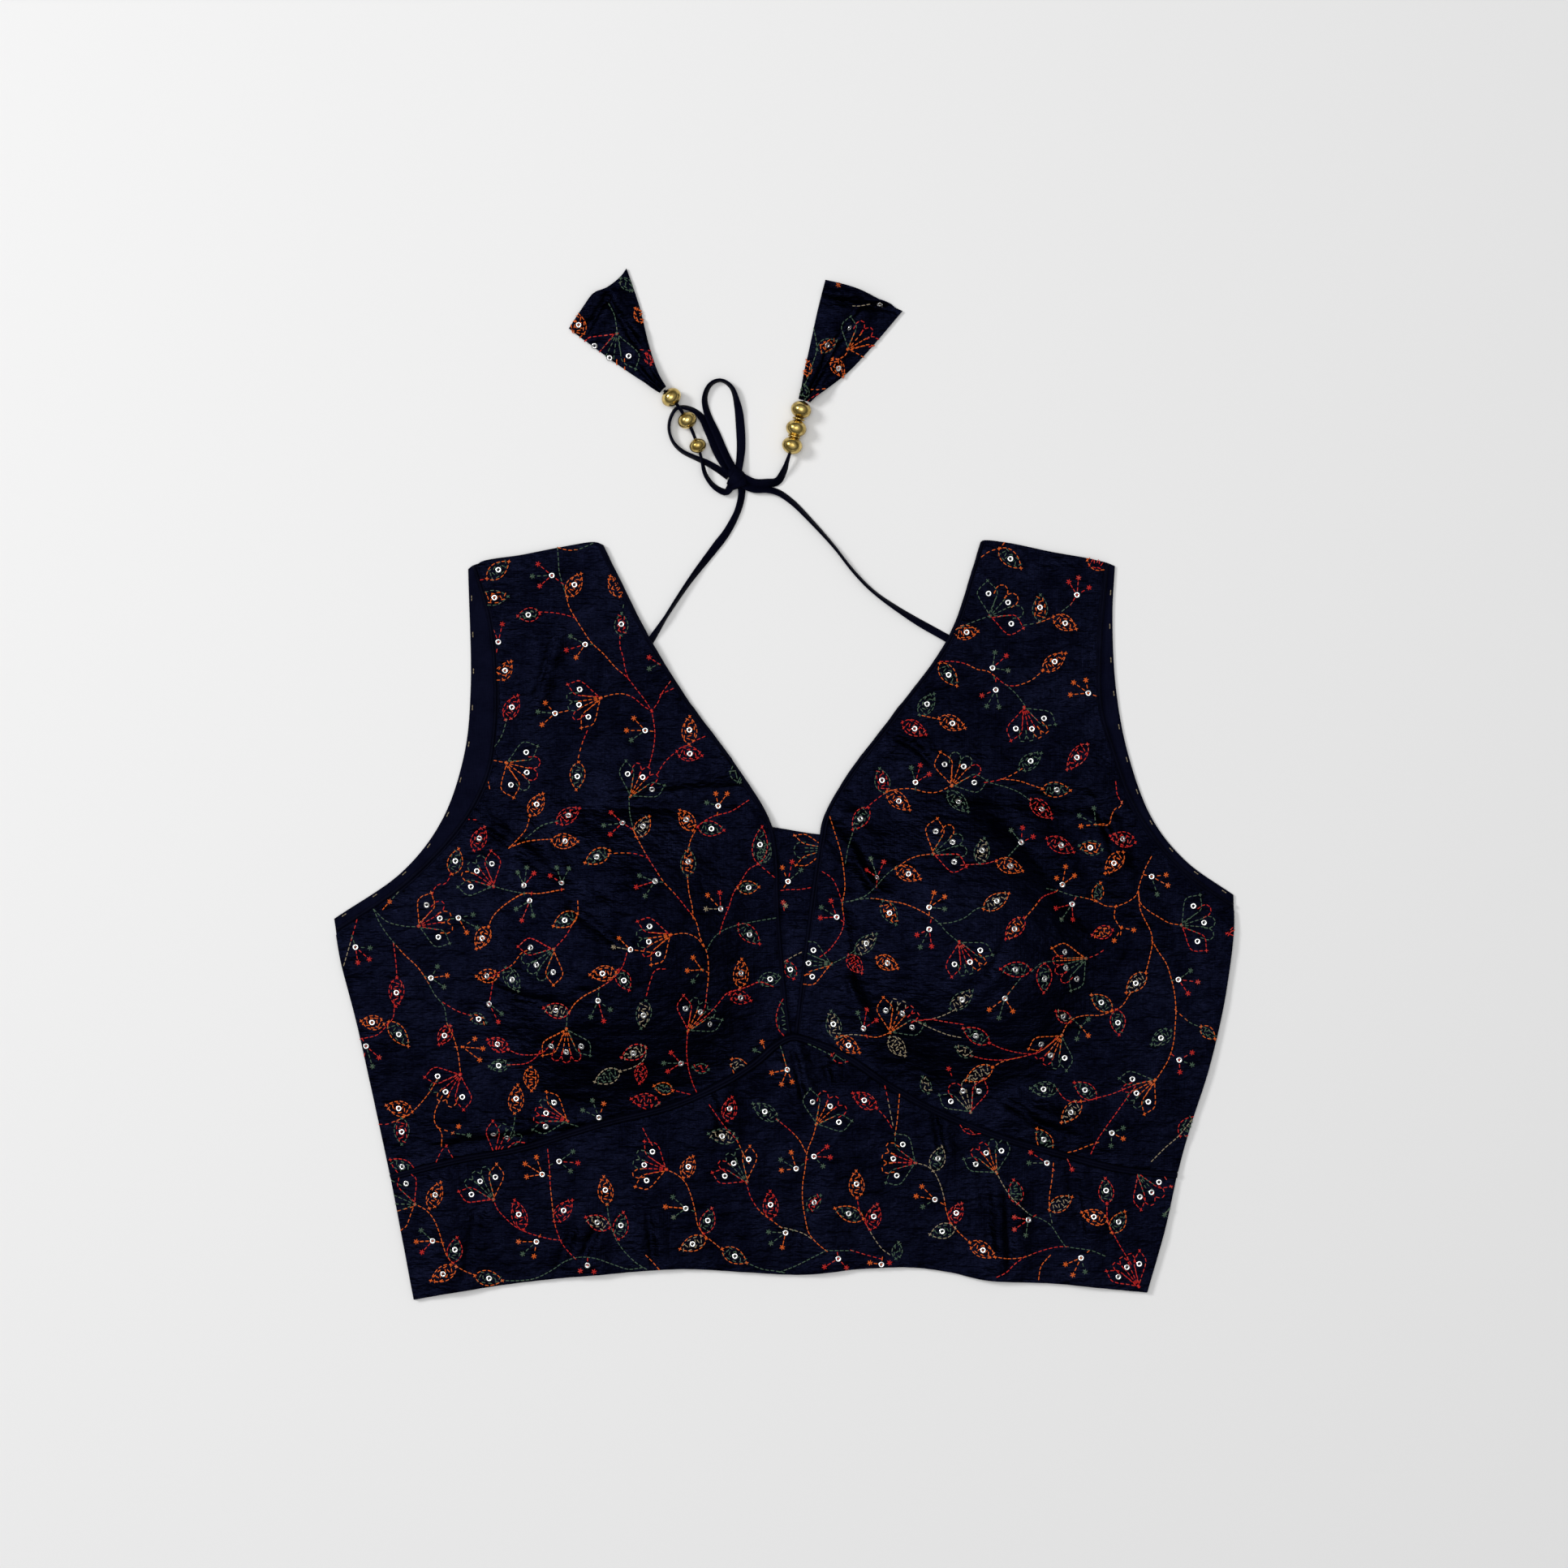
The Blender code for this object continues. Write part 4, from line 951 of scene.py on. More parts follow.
def make_back():
    """The back: two halves joined down the middle, lining side up, flat where it lies."""
    count, across = BACK_CELLS[1], BACK_CELLS[0] // 2
    neck = smooth_path(BACK_NECK, 2 * count - 1)
    points, faces, area = [], [], 0.0
    for side, rim, hem_end, way in ((LEFT, neck[:count], HEM[0], 1),
                                    (RIGHT, neck[:count - 2:-1], HEM[-1], -1)):
        hem = cut_by_x(HEM_PATH, hem_end[0], BACK_MIDDLE_X, across)
        half = back_places(side, rim, hem[-1], hem, count, across)[:, ::way]
        base = sum(map(len, points))
        faces += [tuple(base + corner for corner in face) for face in grid_faces(*half.shape[:2])]
        top = BACK_WALL - 0.05 + 0.05 * ripple(half[..., 0], half[..., 1], 7.0, 61)
        points.append(np.concatenate((half, top[..., None]), axis=2).reshape(-1, 3))
        area += surface_area(np.concatenate((half, np.zeros_like(half[..., :1])), axis=2))
    piece = new_piece("cloth_back", np.vstack(points), faces, LINING)
    bm = bmesh.new()
    bm.from_mesh(piece.data)
    bmesh.ops.remove_doubles(bm, verts=bm.verts, dist=0.0002)
    bm.to_mesh(piece.data)
    bm.free()
    piece.data.shade_smooth()
    solid = piece.modifiers.new("Wall", "SOLIDIFY")
    solid.thickness, solid.offset = (BACK_WALL - 0.1) * MM, -1.0
    return settle(piece, "lining", "back"), area


# Embroidery charts. A place is counted in steps to the right and down; the zero is the part's own.
# A leaf is base, tip, threads of its outline and filling; a sprig its fork, buds and end; a flower
# its base, first and last angle, threads of its petals in turn, of its rays, and where they differ
# from the usual its reach and sequins; a stem its threads and places. Threads are R red, O orange,
# S sage, W pale. A full stop leaves the sequin off.
CHART_STEP, CHART_ZERO = 0.4, (966.0, 1133.5)
CHARTS = {
    "front_left": {
        "leaves": """600,713 627,692 OS;591,738 626,735 SO;699,735 716,707 OO;665,756 638,759 RS;
765,783 766,756 SR;764,735 752,710 OO.;614,838 630,815 OO;623,887 638,857 RR;713,939 710,973 OS;
653,1005 669,978 OO;686,1014 714,996 RR;680,1036 712,1037 OO;584,1048 597,1019 RR;557,1077 565,1046 OS;
751,1048 721,1063 OS;784,1031 800,1006 OW;849,917 850,883 OO;834,926 865,931 RR;854,1023 838,998 OO;
860,1019 892,1023 RS;847,1079 849,1046 SO;934,1064 939,1019 RS;937,1063 948,1040 SS.;909,1094 935,1093
OS;910,1139 936,1163 RS;912,1217 914,1182 OO;935,1209 962,1204 SS;899,1225 925,1233 RR;966,1276
965,1231 RS.;796,1233 790,1267 SW;796,1291 766,1303 RW;791,1311 788,1335 RR.;764,1320 733,1333 WS.;
873,1318 854,1315 SR.;902,1305 922,1327 OW;829,1344 806,1338 OS.;812,1359 778,1354 RR.;711,1126
682,1141 OS;602,1142 587,1169 OO;614,1202 587,1203 OO;623,1192 639,1221 SS;489,1205 488,1240 RR;
473,1262 445,1258 OO;479,1259 503,1289 OS;555,1264 541,1287 RR;580,1251 599,1260 SO;626,1293 601,1281
RR;627,1312 603,1314 SS;654,1315 655,1344 OO.;634,1372 638,1337 OO;508,1370 476,1362 OO;495,1378
495,1410 SR;511,1447 481,1429 RS;759,1198 727,1201 OO;762,1195 775,1220 RS;701,1248 670,1242 RW;902,946
912,964 SS.""",
        "sprigs": """680,709 663,695R 656,710S 665,722R 693,719;614,791 606,770R 619,769R 611,808;
721,794 703,784S 698,801R 710,810O 729,794;684,879 672,866O 663,877S 668,893O 698,876;795,900 781,885O
772,900O 778,912S 803,901;812,818. 800,810R 800,824S 818,820;885,993 882,978O 871,989S 896,978O
884,1003;767,1014 753,1001R 744,1017S 752,1028R 778,1021;807,1086 788,1079S 784,1093R 795,1104S
815,1087;646,1091 638,1075S 649,1069S 658,1076R 646,1101;692,1088 678,1079R 686,1069S 701,1070S
692,1096;601,961. 601,961O 603,970;653,1110 643,1134R 636,1120S 657,1128S 655,1101;565,1131 583,1127S
575,1149O 588,1143S 550,1133;438,1167 456,1168S 455,1182R 441,1186R 434,1154;480,1111. 480,1111O
491,1099S 472,1120;531,1205 539,1191S 551,1202O 547,1216S 524,1203;570,1290. 585,1280O 595,1292O
591,1306O 562,1290;451,1289 467,1303R 459,1314S 448,1306R 447,1281;603,1237 614,1259R 618,1249S
607,1212;737,1233 728,1253S 744,1258R 752,1244S 738,1218;777,1170 763,1156O 756,1167W 799,1173;888,1120
887,1100R 872,1103O 870,1120W 897,1118;865,1195. 854,1180O 847,1196O 854,1209S 872,1198;839,1310
827,1297R 818,1310S 823,1320R 846,1310;738,1377 730,1356S 744,1360O 718,1368S 748,1384;945,1300.
939,1284O 930,1294S 950,1306;558,1396. 565,1388O 578,1399S 541,1390;665,1412. 682,1403R 655,1416""",
        "flowers": """740,860 145 250 RSSRO O;777,981 110 5 SRRRS O;624,940 45 -95 SRRSO O;826,1152 145
250 RSSRO O;848,1270 110 5 RSSSS O;608,1092 80 195 RSSOS R;516,1141 85 -45 OROOS R;682,1170 160 285
RSSSO S;698,1268 215 325 ORRRS O;567,1324 170 290 RSOOR R;699,1381 115 205 OSRRS R;610,1425 105 10
RSSSR R""",
        "stems": """SOOR 687,676 688,688 689,704 693,719 698,735 701,747 708,760 718,776 729,792
743,805 759,823 773,835 784,849 795,863 803,876;OR 740,860 753,856 768,855 781,860 793,870 803,876;R
803,876 811,865 815,855 825,841;R 815,855 828,849;R 803,876 806,893 807,905 805,923 800,943;S 775,984
776,1002 780,1021;OROROOOR 780,1022 789,1040 799,1058 808,1072 818,1087 832,1102 845,1118 857,1134
863,1156 871,1174 873,1198 871,1222 868,1243 863,1252;O 827,1152 844,1150 859,1156 866,1165;R 847,1273
846,1294 848,1315 854,1336 862,1353;SOSO 460,1120 470,1141 484,1160 498,1176 514,1191 526,1208 536,1226
547,1240 551,1261 558,1276 564,1296 567,1318;OS 689,675 701,678 715,676 729,670;R 585,716 600,713;R
666,754 683,755 698,758 708,761;S 766,756 768,747;R 764,785 764,797 768,810 770,823 773,833;S 624,887
620,902 614,914 607,923;RO 723,902 717,917 713,932;O 653,1005 648,1022 639,1033 627,1045;S 686,1012
668,1017 655,1027 648,1033;O 679,1034 663,1035 648,1037 628,1044;R 564,1019 573,1010 585,1010;R
555,1077 550,1088 538,1091 533,1101;OR 751,1052 765,1051 783,1052 798,1057;R 849,917 858,912 867,908;R
834,926 825,933 817,942 811,952;R 921,987 900,1000 881,1005 869,1011 860,1018;O 856,1025 851,1035
848,1047;O 847,1080 849,1100 853,1118 854,1130;R 934,1065 923,1071 913,1086 904,1100 898,1118 892,1133
887,1149;R 935,1065 953,1080;S 871,1170 880,1155 892,1146 908,1140 927,1136 956,1131;RR 951,1215
936,1210 923,1215 911,1219 896,1224 883,1239 868,1254 859,1261;R 818,1194 808,1195 802,1207 797,1225;W
764,1320 778,1316 790,1309 796,1300 795,1290;R 829,1343 844,1347 856,1350 866,1357;SO 812,1360 796,1369
763,1377 730,1387;OR 712,1112 712,1126 705,1139 698,1152 683,1169;O 693,1096 664,1101 646,1101 632,1108
617,1119 607,1130 602,1142;RO 604,1205 615,1198 632,1188 643,1174 654,1170;R 489,1204 488,1188
485,1164;R 486,1239 484,1255 478,1261;R 445,1280 465,1275 478,1262;R 547,1236 564,1246 579,1251;R
626,1293 640,1299 662,1299 670,1296 681,1284;R 627,1312 649,1310 661,1302 665,1296;S 635,1372 633,1387
629,1399;O 508,1370 517,1361 529,1346 538,1331;RO 464,1381 470,1386 488,1381 501,1375 508,1370;R
511,1447 528,1443 536,1434 544,1418 550,1412;R 550,1412 557,1425 567,1433 591,1434 608,1430;O 544,1352
536,1370 536,1384 544,1396 544,1411;RO 772,1176 767,1191 756,1205 737,1218 720,1227 708,1237 702,1246;S
699,1249 698,1268;O 604,936 624,940;S 608,1092 626,1097 646,1101;S 462,1122 476,1135 497,1141 516,1142;
S 699,1384 725,1390 749,1384 764,1378 781,1371 799,1368;RW 441,1129 434,1154 424,1188""",
    },
    "front_right": {
        "leaves": """1231,676 1258,700 OS;1340,690 1368,698 OR.;1176,780 1205,778 OO;1281,765 1282,733
SO;1298,760 1326,775 OO;1158,817 1179,845 OS;1285,826 1313,805 OO;1133,881 1151,855 SS;1112,890
1141,905 RR;1157,885 1189,897 OO;1340,917 1315,948 RR;1256,948 1283,928 SS;1090,977 1084,947 SR;
1093,975 1121,998 OO;1070,995 1051,1022 RS;1168,975 1193,1000 SS;1284,972 1319,974 OS;1270,985
1296,1008 RR;1207,1064 1213,1033 SW;1228,1061 1260,1073 OO;1104,1070 1134,1083 OO;1290,1033 1323,1050
RR;1358,1047 1330,1042 SO;1399,1038 1368,1030 RR;1384,1050 1362,1076 OO;1212,1120 1243,1101 OW;
1088,1110 1104,1139 SO;1054,1175 1080,1151 SW;1045,1177 1062,1199 RR.;1080,1180 1106,1193 OO;1270,1195
1233,1194 RS;1287,1187 1286,1223 RS;1262,1131 1239,1157 RO;1371,1146 1346,1152 RO.;1412,1199 1388,1223
OW;1370,1245 1345,1226 OS;1376,1244 1379,1275 RS;1319,1259 1301,1246 RW;1443,1270 1419,1287 SS;
1480,1265 1497,1280 OS.;1219,1285 1187,1267 RS;1197,1301 1178,1290 SW.;1223,1315 1190,1331 OW.;
1144,1347 1137,1327 SW.;1096,1278 1115,1301 WW.;1031,1278 1059,1297 OO;1030,1279 1024,1246 SW;1171,1243
1199,1221 SW;1303,1343 1270,1341 SS;1351,1353 1324,1334 RS;1332,1357 1308,1383 OW;1295,1418 1278,1391
OS;1454,1400 1471,1376 RS.;1512,1150 1524,1146 RR.;1350,1110 1356,1088 OS.""",
        "sprigs": """1327,733 1317,717R 1329,712R 1342,724R 1320,744;1223,823 1226,804S 1240,808R
1242,826S 1225,835;1227,850 1210,857R 1216,870S 1231,871S 1227,838;1341,854 1323,841O 1338,838O
1319,856O 1349,857;1128,964 1123,946S 1134,943R 1145,954R 1128,972;1258,1038 1246,1023S 1260,1020R
1273,1031R 1240,1058;1081,1081 1068,1072R 1073,1058S 1089,1062R 1080,1092;1309,1090 1313,1068O
1324,1079O 1302,1082O 1302,1098;1350,1016. 1332,1018O 1330,1005S 1348,996S 1360,1015;1419,1080
1437,1078O 1439,1091O 1426,1102S 1411,1078;1031,1130 1024,1110R 1012,1118S 1011,1131R 1038,1135;
1145,1118 1151,1100O 1164,1105O 1164,1120S 1145,1126;1145,1145 1130,1152R 1134,1167S 1148,1166R
1147,1135;1321,1114 1301,1119R 1308,1133S 1322,1133R 1325,1107;1238,1230 1219,1244O 1231,1254S
1248,1246O 1248,1217;1064,1267 1068,1244R 1080,1257R 1057,1248S 1068,1277;1452,1207 1467,1196S
1476,1210R 1464,1224R 1445,1208;1453,1306 1469,1297R 1469,1312S 1454,1321R 1445,1300;1370,1396
1384,1390S 1384,1403O 1369,1412S 1362,1392;1332,1265. 1341,1256S 1341,1276O 1327,1280S 1322,1256;
1382,1143. 1373,1159O 1397,1146O 1381,1150;1169,1317. 1169,1317R 1172,1324""",
        "flowers": """1220,759 112 -38 SOOSR S;1262,872 235 345 RSSOOS R;1173,968 125 -8 OSSRS O;
1150,1052 100 -38 OOSSR S;1182,1161 245 352 RSSOOS R;1338,1181 150 258 ORRRS S;1456,1140 75 -62 SRSSR
S;1097,1272 115 0 OWWRRS O;1308,1276 190 290 ORRSS O;1423,1331 165 265 SRSSO O;1024,1188 130 225 SOOO
S;1196,1370 165 55 SRWR W""",
        "stems": """O 1211,685 1220,679 1232,676;O 1232,676 1238,668;RORO 1160,815 1175,815 1190,818
1205,825 1217,827 1228,835 1240,844 1250,845 1262,842 1274,836 1285,826;S 1240,844 1252,855 1262,868;O
1138,882 1147,884 1157,886;ROOO 1068,995 1080,985 1095,975 1110,972 1125,972 1140,976 1155,976
1172,968;RO 1215,964 1235,960 1250,953 1258,948;O 1235,960 1255,962 1270,967 1285,972;S 1222,965
1240,970 1255,976 1268,985;S 1080,1092 1090,1080 1104,1068;O 1104,1070 1118,1060 1130,1055 1150,1052;R
1186,1066 1200,1065 1215,1064 1228,1060;S 1052,1022 1045,1045 1042,1062;S 1080,1092 1066,1104
1050,1110;ROO 1375,965 1377,980 1383,992 1375,996 1370,1004 1366,1016 1350,1016;S 1219,759 1195,768
1180,775;SO 1263,770 1280,767 1298,760;S 1310,752 1320,744;OOR 1023,1008 1030,1030 1036,1050 1040,1075
1041,1095 1038,1115 1040,1135 1036,1150 1022,1170 1012,1178;R 1015,1075 1025,1082 1032,1095 1037,1110;
SOOS 1038,1112 1060,1108 1075,1107 1095,1110 1115,1114 1130,1120 1143,1127 1158,1138 1165,1147
1178,1158;S 1158,1138 1175,1136 1190,1130 1203,1120 1212,1118;RO 1300,1099 1285,1105 1275,1117
1264,1130;SO 1291,1095 1305,1098 1320,1103 1335,1106 1350,1110 1362,1116 1375,1117;O 1375,1117
1388,1112 1400,1103 1404,1090 1408,1078 1412,1068 1418,1057;O 1403,1100 1405,1112 1415,1122 1428,1130
1440,1137 1456,1140;O 1375,1117 1373,1130 1380,1142;O 1403,1103 1405,1120 1410,1132 1418,1148 1420,1160
1417,1178 1412,1198;O 1420,1160 1427,1172 1437,1187 1443,1205 1447,1222 1449,1245 1448,1265 1446,1285
1440,1305 1430,1322 1424,1331;OS 1449,1245 1460,1255 1470,1262 1480,1265;SO 1272,1196 1283,1187
1300,1184 1320,1183 1338,1181;R 1338,1181 1350,1177 1358,1172;S 1256,1207 1248,1217 1240,1228;RW
1128,1258 1145,1256 1160,1252 1175,1245;W 1128,1258 1150,1268 1168,1275 1182,1278;R 1128,1258 1145,1256
1165,1259 1185,1262;R 1219,1285 1235,1292 1255,1297 1275,1298 1290,1290 1300,1280;R 1197,1301 1215,1305
1235,1306 1255,1303 1275,1298;O 1223,1315 1235,1308 1255,1303;O 1308,1276 1315,1262 1325,1254 1340,1251
1355,1251 1370,1246 1382,1240 1392,1225;R 1303,1343 1312,1354 1325,1358 1340,1356 1355,1352 1370,1348
1385,1342 1398,1337 1410,1333;R 1398,1340 1385,1358 1375,1372 1362,1390 1352,1405 1345,1420;O 1352,1408
1340,1412 1325,1418 1310,1421;WO 1030,1280 1045,1275 1065,1276 1080,1278 1095,1273;S 1024,1188
1040,1180 1052,1172;W 1470,1378 1452,1400 1436,1414 1420,1430""",
    },
    "band": {
        "leaves": """529,1489 543,1457 OO;558,1556 563,1525 RS;562,1561 531,1578 OO;585,1572 619,1578
OS;645,1515 634,1479 RR;683,1505 705,1479 RR;748,1484 744,1450 OO;751,1513 722,1500 RW;762,1527
768,1494 RS;842,1451 854,1425 OO;867,1520 877,1489 RS;870,1526 838,1539 OW;890,1539 920,1556 OS;
896,1381 902,1352 RR;908,1403 873,1397 SW;958,1380 928,1360 SS;950,1502 949,1468 RR;1025,1300 1047,1306
RS;1080,1365 1051,1347 RR;1056,1476 1055,1443 OO;1064,1502 1029,1489 OS;1072,1515 1081,1484 RR;995,1491
1011,1473 SR;1104,1551 1107,1531 SS.;1150,1443 1161,1413 WS;1177,1513 1146,1521 WS;1171,1507 1185,1483
RR;1195,1531 1226,1549 OO;1254,1483 1249,1454 RS.;1293,1491 1321,1475 OW.;1364,1483 1362,1452 RS;
1364,1505 1333,1494 OO;1370,1519 1386,1493 OS;1183,1382 1212,1395 RR.""",
        "sprigs": """533,1529 513,1530O 519,1516S 520,1543R 545,1531;668,1447 661,1426O 647,1434O
649,1450O 677,1449;689,1431 706,1419S 712,1433R 703,1443S 679,1435;661,1530 639,1530O 644,1545S
658,1548O 665,1523;724,1559 715,1566R 732,1567R 724,1552;845,1489 829,1475S 820,1487O 830,1500S
854,1492;968,1519 947,1518S 950,1532S 964,1537O 978,1516;981,1440 962,1429S 975,1420O 963,1442O
989,1435;1003,1425 1019,1413R 1023,1426R 1014,1437S 994,1429;1033,1551 1016,1561R 1043,1562R 1032,1545;
1086,1558 1072,1556O 1096,1556R 1087,1551;1152,1478 1136,1462O 1129,1474O 1137,1487S 1161,1483;
1290,1433 1270,1420R 1268,1433S 1298,1441;1267,1503 1250,1500R 1250,1515R 1264,1522S 1275,1498;
1332,1550 1313,1558O 1322,1571O 1337,1567S 1341,1542;1316,1430. 1321,1441R 1312,1422;970,1318 951,1322O
963,1336O 976,1333O 965,1300;1437,1494. 1445,1486S 1435,1497S 1440,1490""",
        "flowers": """511,1484 95 240 RSSSO S;608,1478 72 180 OSSSR S;821,1441 115 222 RSSOO R;920,1456
72 178 OSSRR S;1006,1385 115 -10 SRRRS O;1128,1433 110 228 SOOOS R;1228,1445 170 65 SRRSS O;1402,1447
265 350 RRRR S;1403,1585 165 78 RRRRR R""",
        "stems": """O 511,1484 522,1489 533,1500 540,1515 545,1531 551,1548 560,1558 572,1566 585,1571;
R 608,1478 613,1490 622,1500 633,1510 648,1518 663,1523 680,1527 690,1528;ROR 675,1418 677,1440
678,1460 680,1480 683,1505 688,1522 693,1533 703,1545 708,1550;S 619,1578 640,1578 660,1575 680,1565
695,1555 708,1550 720,1549 735,1551 755,1558 775,1564 790,1562;S 748,1484 750,1500 755,1518 762,1532
772,1545 785,1557 795,1563;O 797,1548 805,1556 811,1563;O 821,1441 835,1448 845,1458 852,1475 857,1495
860,1510 868,1522 878,1530 890,1540;S 920,1556 940,1564 955,1566 965,1568;RRO 875,1363 887,1380
897,1393 908,1405 915,1420 922,1432;RO 920,1458 925,1475 937,1493 950,1503 962,1512;RO 958,1380
968,1388 976,1395 985,1405 992,1418;R 793,1392 797,1400 803,1410;O 1006,1385 1002,1400 995,1418
992,1440 989,1460 989,1480 992,1500 997,1520 1008,1533 1018,1541;S 1018,1541 1035,1541 1050,1541;R
1050,1541 1070,1547 1085,1551;S 962,1567 980,1560 1000,1550 1018,1541;W 962,1512 975,1515 990,1520
998,1525;RW 1056,1476 1060,1495 1068,1510 1078,1527 1088,1540 1095,1545;RW 1088,1330 1092,1345
1097,1370 1100,1385;O 1109,1342 1107,1365 1105,1385 1103,1397;R 1080,1365 1092,1378 1098,1388;WO
1128,1433 1140,1436 1150,1443 1158,1458 1163,1475 1166,1492 1172,1507 1183,1520 1195,1531;ORS 1226,1549
1245,1551 1262,1549 1278,1543 1295,1538 1310,1536 1325,1538 1345,1541 1360,1547;WS 1228,1445 1236,1460
1246,1475 1258,1487 1270,1497 1283,1502 1295,1510 1305,1525 1312,1535;O 1298,1435 1296,1455 1293,1475
1293,1490;S 1293,1490 1296,1505;R 1262,1549 1250,1558 1240,1568 1230,1573;O 1293,1548 1283,1560
1280,1575;R 1364,1483 1365,1505 1372,1520 1380,1535 1388,1548 1393,1556;RS 975,1280 990,1284 1008,1292
1022,1299;S 960,1285 964,1296 968,1310""",
    },
    "inset": {
        "leaves": "978,1206 970,1184 RS",
        "sprigs": """971,1086 964,1069O 976,1062R 987,1072S 967,1092;965,1112. 965,1112R 968,1116W
966,1120""",
        "flowers": "1020,1046 150 215 OSO S 16.8 0",
        "stems": "R 964,1097 972,1096 985,1096 997,1094;W 968,1184 976,1179 986,1174",
    },
    "tassel_left": {
        "leaves": "714,416 712,386 OO;791,397 783,380 OO.;765,343 779,358 SS.;802,449 796,436 RR.",
        "sprigs": "",
        "flowers": "760,411 195 312 RRROOS S 19",
        "stems": "S 751,376 757,388 760,405;R 791,431 796,430 800,432;S 738,352 742,356",
    },
    "tassel_right": {
        "leaves": "1026,442 1039,464 OO;1007,431 1031,420 SO;995,463 994,444 OO.;992,492 991,474 SS.",
        "sprigs": "1084,375 1084,375W 1086,377;1033,351. 1033,351O 1033,351O 1034,352",
        "flowers": "1045,430 100 -20 SRRRO O 15.5 1",
        "stems": """O 1045,430 1042,437 1034,442 1026,444;S 1003,406 1006,422 1006,433 1001,449 998,459
993,471;O 1001,480 1008,480 1015,479;R 997,493 1002,489 1007,486;W 1052,377 1060,377 1070,375""",
    },
}


# Embroidery

STITCH_LENGTH, STITCH_WIDTH, STITCH_HEIGHT = 2.2, 0.50, 0.34
STITCH_SPACING = STITCH_LENGTH * 1.12
STITCH_LIFT, SEQUIN_LIFT = 0.12, 0.35
# Distance between the points of a stem, between those laid on the cloth, and for its slope.
STEM_STEP, LINE_STEP, SLOPE_STEP = 1.2, 0.8, 1.2
LEAF_WIDTH, LEAF_ZIGZAGS = 7.4, 8
SMALL_LEAF, SMALL_ZIGZAGS = 9.0, 5
FLOWER_REACH = 16.8
BUD_REACH = 0.42
SEQUIN_SECTION = route("0.52,0.10 0.95,0.14 1.46,0.36 1.48,0.46 0.97,0.28 0.54,0.24")
# Stitch tips along the back's armholes: how far inside the edge, and on which points of it.
DOT_INSET, DOT_POINTS = 1.2, range(FINE // 14, FINE - 4, FINE // 11)


def on_cloth(places, top):
    """Heights of chart places on the cloth, seen from the camera: raised places move inwards."""
    centre = np.array(VIEW_CENTRE) / MM
    z = top(places[:, 0], places[:, 1])
    shifted = centre + (places - centre) * (1 - z / (VIEW_HEIGHT / MM))[:, None]
    return np.column_stack((shifted, top(shifted[:, 0], shifted[:, 1])))


